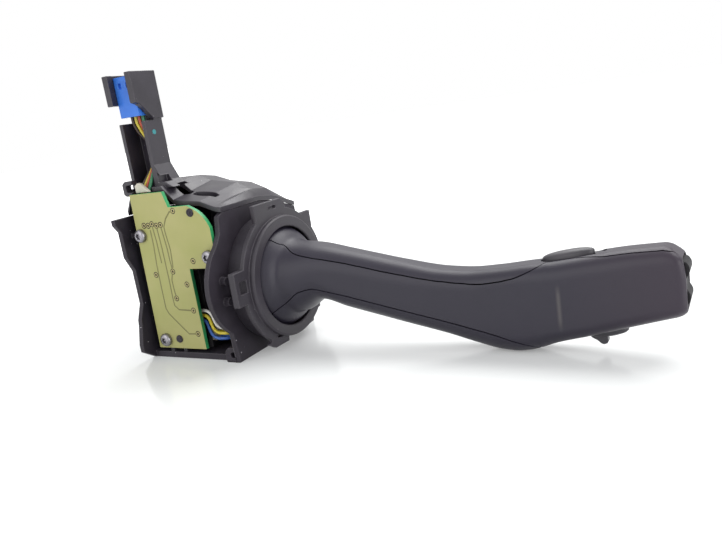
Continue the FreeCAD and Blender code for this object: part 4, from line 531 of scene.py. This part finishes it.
# Pins, plunger and spring: ground steel pins and a drawn wire spring, oiled. The carrier and the lever
# turn about the pins, and the spring pushes the plunger to the track.
STEEL_PIECES = (("pivot_pins", 0.15, "pin_steel"), ("pull_pin", 0.15, "pin_steel"),
                ("detent_plunger", 0.15, "pin_steel"), ("detent_spring", 0.02, "spring_steel"))
ground_steel = blank("Steel, ground and oiled")
ground_place = add(ground_steel, "ShaderNodeTexCoord").outputs["Object"]
ground_marks = add(ground_steel, "ShaderNodeTexNoise", {"Vector": ground_place, "Scale": 1000 / 0.3})
ground_rough = add(ground_steel, "ShaderNodeMapRange", {
    "Value": ground_marks.outputs["Fac"], "To Min": 0.2, "To Max": 0.36})
finish_with(ground_steel, add(ground_steel, "ShaderNodeBsdfPrincipled", {
    "Base Color": colour("#B9BABD"), "Metallic": 1.0, "Roughness": ground_rough.outputs["Result"]}))
for node, radius, slot in STEEL_PIECES:
    steel_piece = rounded_copy(node, radius, angle=50, crisp=50)
    steel_piece.data.materials.append(ground_steel)

# Lever: two shells of soft dark violet-grey plastic with a fine leather-like grain, parted by narrow
# seams. One form flares out of the bezel, dips to its belly on the table and rises to a flat grip.
HIGH_SEAM = (
    (-7.9, 18.5), (-2.0, 15.3), (2.0, 12.6), (7.0, 9.9), (14.5, 8.2), (24.0, 6.3), (45.0, 1.6), (61.0, -1.2),
    (74.0, -2.2), (84.0, -0.9), (90.0, 1.2), (94.0, 3.0), (97.0, 4.3), (101.0, 5.2), (104.0, 12.0))
LOW_SEAM = (
    (-7.9, -14.2), (-2.0, -10.2), (4.0, -6.3), (8.4, -3.5), (12.9, -2.8), (17.2, -3.7), (45.0, -10.6),
    (76.0, -18.5), (84.0, -21.2), (90.0, -23.2), (94.0, -26.5))
# Each row gives a place along the lever, its top, its underside, half its width, and the radius of its
# upper and of its lower corners.
FORM = (
    (-7.83, 20.18, 20.18, 20.18, 20.1, 20.1), (-4.6, 18.89, 18.89, 18.89, 18.8, 18.8),
    (-2.2, 17.49, 17.49, 17.49, 17.4, 17.4), (0.0, 15.79, 15.79, 15.79, 15.7, 15.7),
    (2.0, 13.76, 13.76, 13.76, 13.7, 13.7), (5.4, 12.8, 12.8, 12.8, 12.6, 12.6),
    (13.5, 11.65, 8.6, 10.4, 9.0, 9.7), (24.0, 9.35, 11.6, 8.8, 7.4, 8.1),
    (34.5, 6.97, 14.25, 8.3, 7.0, 7.6), (45.0, 4.6, 16.9, 8.0, 6.6, 7.3),
    (61.0, 1.55, 20.8, 7.7, 5.5, 7.0), (70.0, 1.05, 23.4, 7.7, 5.5, 7.0),
    (79.0, 1.55, 25.55, 7.5, 4.9, 6.8), (83.0, 1.95, 25.78, 7.5, 4.9, 6.4),
    (88.0, 2.55, 25.1, 7.5, 4.9, 5.9), (97.0, 3.45, 22.1, 7.5, 5.3, 5.2),
    (108.0, 5.05, 19.45, 7.3, 5.5, 4.8), (118.0, 6.3, 16.9, 7.1, 5.3, 4.8),
    (127.6, 6.95, 14.5, 6.7, 4.9, 4.4))
TIP = 133.2
TIP_FROM = 127.7
SLOPE_FROM = 127.4
TOP_FALL = 3.5
UNDERSIDE_FROM = 130.0
UNDERSIDE_RISE = 1.85
SIDES_FROM = 130.4
SIDES_DRAW_IN = 1.55
MOUTH = (3.55, 11.1, 4.5, 1.0, 1.0)
MOUTH_CHAMFER = 0.15
MOUTH_FLOOR = 129.5
TOP_SET_BACK = 0.95
SEAM_LINE = -2.8
SEAM_STEPS = 700
SEAM_HALF_GAP = 0.21
GAP_CLOSES_BY = 0.17
GAP_CLOSES_FROM = 129
CREASE_X = 99.0
CREASE_REACH = 3.0
CREASE_DEPTH = 0.16
CREASE_WIDTH = 0.55
SLOT_CENTRE = (102.09, 1.0, 4.04)
SLIDE_TILT = 7.1
BUTTON_CENTRE = (110.8, 0.3, -18.7)
BUTTON_TILT = 13.9


def clamped(value):
    """A value kept between 0 and 1."""
    return max(0.0, min(1.0, value))


def smooth_value(rows, column, x):
    """A value read off a row of stations along a smooth line that doesn't overshoot them."""
    if x <= rows[0][0]:
        return rows[0][column]
    if x >= rows[-1][0]:
        return rows[-1][column]
    slopes = [(b[column] - a[column]) / (b[0] - a[0]) for a, b in zip(rows, rows[1:])]
    ends = [slopes[0]]
    for a, b in zip(slopes, slopes[1:]):
        ends.append(0 if a * b <= 0 else 2 * a * b / (a + b))
    ends.append(slopes[-1])
    for index in range(len(rows) - 1):
        if x <= rows[index + 1][0]:
            step = rows[index + 1][0] - rows[index][0]
            t = (x - rows[index][0]) / step
            return ((2 * t ** 3 - 3 * t ** 2 + 1) * rows[index][column]
                    + (t ** 3 - 2 * t ** 2 + t) * step * ends[index]
                    + (3 * t ** 2 - 2 * t ** 3) * rows[index + 1][column]
                    + (t ** 3 - t ** 2) * step * ends[index + 1])


def section_line(high, low, half, upper, lower):
    """A rounded section as (y, z) points from the middle of its top, down the near side and back up."""
    tight = min(1.0, (half - 0.02) / max(upper, lower), (high + low - 0.04) / (upper + lower))
    upper *= tight
    lower *= tight
    points = [(0.0, high)]
    for middle_y, middle_z, radius, start in (
            (-half + upper, high - upper, upper, 90), (-half + lower, -low + lower, lower, 180),
            (half - lower, -low + lower, lower, 270), (half - upper, high - upper, upper, 0)):
        for step in range(16):
            around = math.radians(start + step * 6)
            points.append((middle_y + radius * math.cos(around), middle_z + radius * math.sin(around)))
    points.append((0.0, high))
    return points


def lengths_along(points):
    """Distances along a line of points."""
    total = [0.0]
    for a, b in zip(points, points[1:]):
        total.append(total[-1] + math.dist(a, b))
    return total


def point_at(points, lengths, distance):
    """The point at a distance along a line of points."""
    distance = distance % lengths[-1]
    for index in range(len(points) - 1):
        if lengths[index + 1] >= distance:
            share = (distance - lengths[index]) / max(lengths[index + 1] - lengths[index], 1e-9)
            return (points[index][0] + (points[index + 1][0] - points[index][0]) * share,
                    points[index][1] + (points[index + 1][1] - points[index][1]) * share)
    return points[-1]


def seam_places(points, lengths, high_z, low_z, parting):
    """Distances along a section to its upper and lower seam, on the near side of the parting line."""
    upper = lower = None
    for step in range(SEAM_STEPS):
        distance = lengths[-1] * step / SEAM_STEPS
        y, z = point_at(points, lengths, distance)
        inside = y <= (parting if z > -4 else SEAM_LINE) and low_z <= z <= high_z
        if inside and upper is None:
            upper = distance
        if inside:
            lower = distance
    return upper, lower


def end_stations():
    """The lever's end: its top slopes down, its sides and underside round in, and its mouth goes back in."""
    start, high, low, half, upper_corner, lower_corner = FORM[-1]
    stations = []
    for degrees in range(0, 91, 6):
        along = TIP_FROM + (TIP - TIP_FROM) * math.sin(math.radians(degrees))
        past = along - start
        slope = max(0.0, (along - SLOPE_FROM) / (TIP - SLOPE_FROM)) ** 1.5
        low_bend, side_bend = (1 - math.sqrt(1 - max(0.0, (along - bend_from) / (TIP - bend_from)) ** 2)
                               for bend_from in (UNDERSIDE_FROM, SIDES_FROM))
        stations.append((
            along, high + 0.064 * past - TOP_FALL * slope, low - 0.23 * past - UNDERSIDE_RISE * low_bend,
            half - 0.05 * past - SIDES_DRAW_IN * side_bend, upper_corner - 3.45 * slope,
            lower_corner - 2.85 * low_bend))
    stations.append((TIP,) + tuple(value + MOUTH_CHAMFER for value in MOUTH))
    stations.append((TIP - 0.2,) + MOUTH)
    stations.append((MOUTH_FLOOR,) + MOUTH)
    return stations


def shell_mesh(near_side):
    """One shell's outside: rows of points along the lever, over the end and into the rocker's mouth."""
    stations = []
    x = FORM[0][0]
    while x < FORM[-1][0]:
        stations.append((x,) + tuple(smooth_value(FORM, column, x) for column in (1, 2, 3, 4, 5)))
        x += 0.6 if x < 10 else 1.1
    mesh = bmesh.new()
    columns = 56 if near_side else 84
    rows = []
    for x, high, low, half, upper_corner, lower_corner in stations + end_stations():
        line = section_line(high, low, half, upper_corner, lower_corner)
        lengths = lengths_along(line)
        parting = SEAM_LINE - 1.7 * max(0.0, min(1.0, (x - 103) / 9, (133.5 - x) / 4))
        high_z = smooth_value(HIGH_SEAM, 1, x)
        low_z = smooth_value(LOW_SEAM, 1, x)
        upper, lower = seam_places(line, lengths, high_z, low_z, parting)
        gap = SEAM_HALF_GAP - GAP_CLOSES_BY * clamped((x - GAP_CLOSES_FROM) / 4)
        start, end = (upper + gap, lower - gap) if near_side else (lower + gap, upper - gap + lengths[-1])
        row = []
        for step in range(columns + 1):
            y, z = point_at(line, lengths, start + (end - start) * step / columns)
            if near_side and abs(x - CREASE_X) < CREASE_REACH:
                window = max(0.0, min(1.0, (z + 19) / 3, (-1 - z) / 3))
                y += CREASE_DEPTH * window * math.exp(-((x - CREASE_X) / CREASE_WIDTH) ** 2)
            set_back = TOP_SET_BACK * (max(0.0, z + 4) / 8) ** 2 * clamped((x - MOUTH_FLOOR) / 3.5)
            row.append(mesh.verts.new(at(x - set_back, y, z)))
        rows.append(row)
    for near, far in zip(rows, rows[1:]):
        for step in range(columns):
            mesh.faces.new((near[step], near[step + 1], far[step + 1], far[step]))
    return mesh


def cut_away(piece, tool):
    """Cuts a tool out of a piece and removes the tool."""
    change = piece.modifiers.new("Cut", "BOOLEAN")
    change.operation = "DIFFERENCE"
    change.solver = "EXACT"
    change.object = tool
    bpy.context.view_layer.update()
    shaped = piece.evaluated_get(bpy.context.evaluated_depsgraph_get())
    data = bpy.data.meshes.new_from_object(shaped)
    piece.modifiers.clear()
    piece.data = data
    bpy.data.objects.remove(tool)


def tilted_place(centre, tilt, local):
    """A place in the tilted frame of the slide or of the button, in the part's frame."""
    spot = Matrix.Rotation(-math.radians(tilt), 3, "Y") @ Vector(local)
    return at(centre[0] + spot.x, centre[1] + spot.y, centre[2] + spot.z)


def oval_tool(centre, tilt, long, wide, low, high):
    """An oval block to cut with, in the slide's or the button's own tilted frame."""
    tool = bmesh.new()
    count = 48
    loops = []
    for height in (low, high):
        loop = []
        for step in range(count):
            around = math.tau * step / count
            side = (long - wide) / 2 * (1 if math.cos(around) >= 0 else -1)
            along = side + wide / 2 * math.cos(around)
            across = wide / 2 * math.sin(around)
            loop.append(tool.verts.new(tilted_place(centre, tilt, (along, across, height))))
        loops.append(loop)
    for step in range(count):
        tool.faces.new((loops[0][step - 1], loops[0][step], loops[1][step], loops[1][step - 1]))
    tool.faces.new(loops[0])
    tool.faces.new(loops[1])
    return mesh_object("cutter", tool)


# A pale vertical line along the grip's crease, in metres: a painted highlight.
CREASE_HIGHLIGHT_X = 0.0601
CREASE_HIGHLIGHT_HALF = 0.0010
CREASE_HIGHLIGHT_ENDS = ((0.0240, 0.0190), (0.0075, 0.0135))
# Where the painted warm reflection on the grip begins and where it is whole, in metres.
WARM_REFLECTION_FROM = 0.06
WARM_REFLECTION_WHOLE = 0.09
SLOT_SIZE = (19.8, 7.0, -0.4, 6.0)
SLOT_THROUGH = (8.8, 3.0, -4.0, 2.0)
BUTTON_WELL = (12.3, 6.3, -5.4, 4.0)
WALL_THICKNESS = 0.0014
WALL_THIN_FROM = at(127.5, 0, 0).x
lever_middle = at(0, 0, 0).y
lever_skin = blank("Soft-touch polypropylene, fine leather grain")
skin_place = add(lever_skin, "ShaderNodeTexCoord").outputs["Object"]
skin_cloud = add(lever_skin, "ShaderNodeTexNoise", {
    "Vector": skin_place, "Scale": 1000 / 30.0, "Detail": 3.0}).outputs["Fac"]
skin_tone = add(lever_skin, "ShaderNodeMix", {
    0: skin_cloud, 6: colour("#201D2A"), 7: colour("#282432")}, data_type="RGBA")
spot = add(lever_skin, "ShaderNodeSeparateXYZ", {"Vector": skin_place})
# Redder towards the grip's end: a painted warm reflection.
painted_warm_reflection = add(lever_skin, "ShaderNodeMapRange", {
    "Value": spot.outputs["X"], "From Min": WARM_REFLECTION_FROM, "From Max": WARM_REFLECTION_WHOLE, "To Max": 0.5})
skin_tone = add(lever_skin, "ShaderNodeMix", {
    0: painted_warm_reflection.outputs["Result"], 6: skin_tone.outputs[2], 7: colour("#382C38")}, data_type="RGBA")
# A pale line at the crease, fading at its top and bottom: a painted highlight.
crease_highlight_away = add(lever_skin, "ShaderNodeMath", {0: spot.outputs["X"], 1: CREASE_HIGHLIGHT_X},
                  operation="SUBTRACT")
crease_highlight_away = add(lever_skin, "ShaderNodeMath", {0: crease_highlight_away.outputs[0]}, operation="ABSOLUTE")
painted_crease_highlight = add(lever_skin, "ShaderNodeMapRange", {
    "Value": crease_highlight_away.outputs[0], "From Min": 0.0, "From Max": CREASE_HIGHLIGHT_HALF, "To Min": 0.25,
    "To Max": 0.0}, interpolation_type="SMOOTHSTEP")
for gone, whole in CREASE_HIGHLIGHT_ENDS:
    fade = add(lever_skin, "ShaderNodeMapRange", {
        "Value": spot.outputs["Z"], "From Min": gone, "From Max": whole}, interpolation_type="SMOOTHSTEP")
    painted_crease_highlight = add(lever_skin, "ShaderNodeMath", {0: painted_crease_highlight.outputs[0], 1: fade.outputs["Result"]},
                 operation="MULTIPLY")
skin_tone = add(lever_skin, "ShaderNodeMix", {
    0: painted_crease_highlight.outputs[0], 6: skin_tone.outputs[2], 7: colour("#8A8480")}, data_type="RGBA")
skin_grain = add(lever_skin, "ShaderNodeTexVoronoi", {"Vector": skin_place, "Scale": 1000 / 0.55},
                 feature="SMOOTH_F1")
skin_bump = add(lever_skin, "ShaderNodeBump", {
    "Height": skin_grain.outputs["Distance"], "Strength": 0.25, "Distance": 0.00005})
skin_shine = add(lever_skin, "ShaderNodeMapRange", {"Value": skin_cloud, "To Min": 0.38, "To Max": 0.47})
finish_with(lever_skin, add(lever_skin, "ShaderNodeBsdfPrincipled", {
    "Base Color": skin_tone.outputs[2], "Roughness": skin_shine.outputs["Result"],
    "Specular IOR Level": 0.42, "Normal": skin_bump.outputs["Normal"]}))
for near_side, name in ((True, "lever_front_shell"), (False, "lever_rear_shell")):
    skin = mesh_object(name + "_shown", shell_mesh(near_side))
    depth = skin.vertex_groups.new(name="Wall")
    for corner in skin.data.vertices:
        share = max(0.12, min(1.0, (WALL_THIN_FROM - corner.co.x) / 0.003))
        depth.add([corner.index], share, "REPLACE")
    wall = skin.modifiers.new("Wall", "SOLIDIFY")
    wall.thickness = WALL_THICKNESS
    wall.vertex_group = "Wall"
    faces_out = 0
    for face in skin.data.polygons:
        faces_out += face.normal.y * math.copysign(1, face.center.y - lever_middle)
    wall.offset = math.copysign(1, -faces_out)
    wall.use_even_offset = False
    bpy.context.view_layer.update()
    solid = bpy.data.meshes.new_from_object(skin.evaluated_get(bpy.context.evaluated_depsgraph_get()))
    skin.modifiers.clear()
    skin.data = solid
    if not near_side:
        cut_away(skin, oval_tool(SLOT_CENTRE, SLIDE_TILT, *SLOT_SIZE))
        cut_away(skin, oval_tool(SLOT_CENTRE, SLIDE_TILT, *SLOT_THROUGH))
        cut_away(skin, oval_tool(BUTTON_CENTRE, BUTTON_TILT, *BUTTON_WELL))
    for face in skin.data.polygons:
        face.use_smooth = True
    skin.data.set_sharp_from_angle(angle=math.radians(48))
    skin.data.materials.clear()
    skin.data.materials.append(lever_skin)
    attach(skin, "lever")
    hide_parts(name)

# Slide: a lens-shaped thumb piece on top, low at its bezel end and high at the tip end, with steep
# sides and a crowned top, moulded in a hard plastic that thumbs have polished.
def oval_rings(mesh, centre, tilt, rings):
    """Rings of an oval piece: half length, half width, height in the middle and its rise along the piece."""
    count = 56
    loops = []
    for long, wide, height, rise in rings:
        loop = []
        for step in range(count):
            around = math.tau * step / count
            along = long * math.copysign(abs(math.cos(around)) ** 0.9, math.cos(around))
            local = (along, wide * math.sin(around), height + rise * along)
            loop.append(mesh.verts.new(tilted_place(centre, tilt, local)))
        loops.append(loop)
    for inner, outer in zip(loops, loops[1:]):
        for step in range(count):
            mesh.faces.new((inner[step - 1], inner[step], outer[step], outer[step - 1]))
    mesh.faces.new(loops[0])
    mesh.faces.new(loops[-1])


control_skin = moulded_plastic("Hard black-violet ABS, eroded mould finish", "#323036", "#403D43",
                               0.38, 0.4, 0.03)
SLIDE_CENTRE = (100.6, 1.0, 3.85)
SLIDE_RINGS = (
    (7.9, 2.9, -0.35, 0.0), (7.9, 2.9, 0.81, 0.02), (7.75, 2.78, 1.06, 0.02), (7.3, 2.5, 1.36, 0.02),
    (6.2, 2.0, 1.71, 0.02), (4.4, 1.4, 1.98, 0.02), (2.2, 0.7, 2.11, 0.02))
thumb = bmesh.new()
oval_rings(thumb, SLIDE_CENTRE, SLIDE_TILT, SLIDE_RINGS)
slide_piece = mesh_object("interval_slide_shown", thumb)
slide_piece.data.set_sharp_from_angle(angle=math.radians(50))
slide_piece.data.materials.append(control_skin)
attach(slide_piece, "slide")
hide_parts("interval_slide")

# Button: a crowned oval under the lever with a blunt fin for the finger, moulded in the same plastic as
# the slide and pressed up into the lever.
BUTTON_RINGS = (
    (5.8, 2.85, 0.9, 0.0), (5.8, 2.85, -0.64, -0.05), (5.6, 2.65, -1.198, -0.06),
    (4.9, 2.2, -1.648, -0.06), (3.4, 1.5, -1.948, -0.06), (1.6, 0.7, -2.048, -0.06))
finger = bmesh.new()
oval_rings(finger, BUTTON_CENTRE, BUTTON_TILT, BUTTON_RINGS)
button_piece = mesh_object("reset_button_shown", finger)
button_piece.data.set_sharp_from_angle(angle=math.radians(50))
button_piece.data.materials.append(control_skin)
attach(button_piece, "button")
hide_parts("reset_button")
FIN = ((-5.6, -0.3), (-5.3, -1.3), (-3.9, -2.6), (-3.2, -3.7), (-2.5, -4.2), (-1.4, -4.1), (-0.9, -3.4),
       (-0.6, -0.6))
fin_ends = [[tilted_place(BUTTON_CENTRE, BUTTON_TILT, (along, side, height)) for along, height in FIN]
            for side in (-1.35, 1.35)]
fin_piece = profile_piece("reset_button_fin", fin_ends, smooth=True)
fin_piece.data.set_sharp_from_angle(angle=math.radians(40))
fin_piece.data.materials.append(control_skin)
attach(fin_piece, "button")

# Rocker: a waisted piece in the lever's mouth, which rocks about its two stub axles. It is moulded in
# black ABS and sits a little further in, and a little shorter below, than its plain solid.
ROCKER_SET_IN = 0.0004
ROCKER_LIFT = 0.0002
ROCKER_HEIGHT = 0.95
rocker_middle = at(0, 0, -3.9).z
# Darker than the slide's and button's plastic: black ABS, darkened further as painted shade from the lever's
# mouth.
shaded_tip_skin = moulded_plastic("Hard black ABS, eroded, with painted shade", "#1A191C", "#232125",
                           0.6, 0.4, 0.03, gloss=0.25)
rocker = rounded_copy("tip_rocker", 0.35, angle=34, segments=3)
for corner in rocker.data.vertices:
    corner.co.x -= ROCKER_SET_IN
    corner.co.z = rocker_middle + ROCKER_LIFT + (corner.co.z - rocker_middle) * ROCKER_HEIGHT
rocker.data.materials.append(shaded_tip_skin)

# Board and switches inside the lever: green laminate and small black press switches, hidden in the
# lever's end behind the slide, the button and the rocker.
inner_board = rounded_copy("lever_board", 0.08)
inner_board.data.materials.append(mask)
inner_switches = rounded_copy("lever_switches", 0.15)
inner_switches.data.materials.append(filled_nylon)
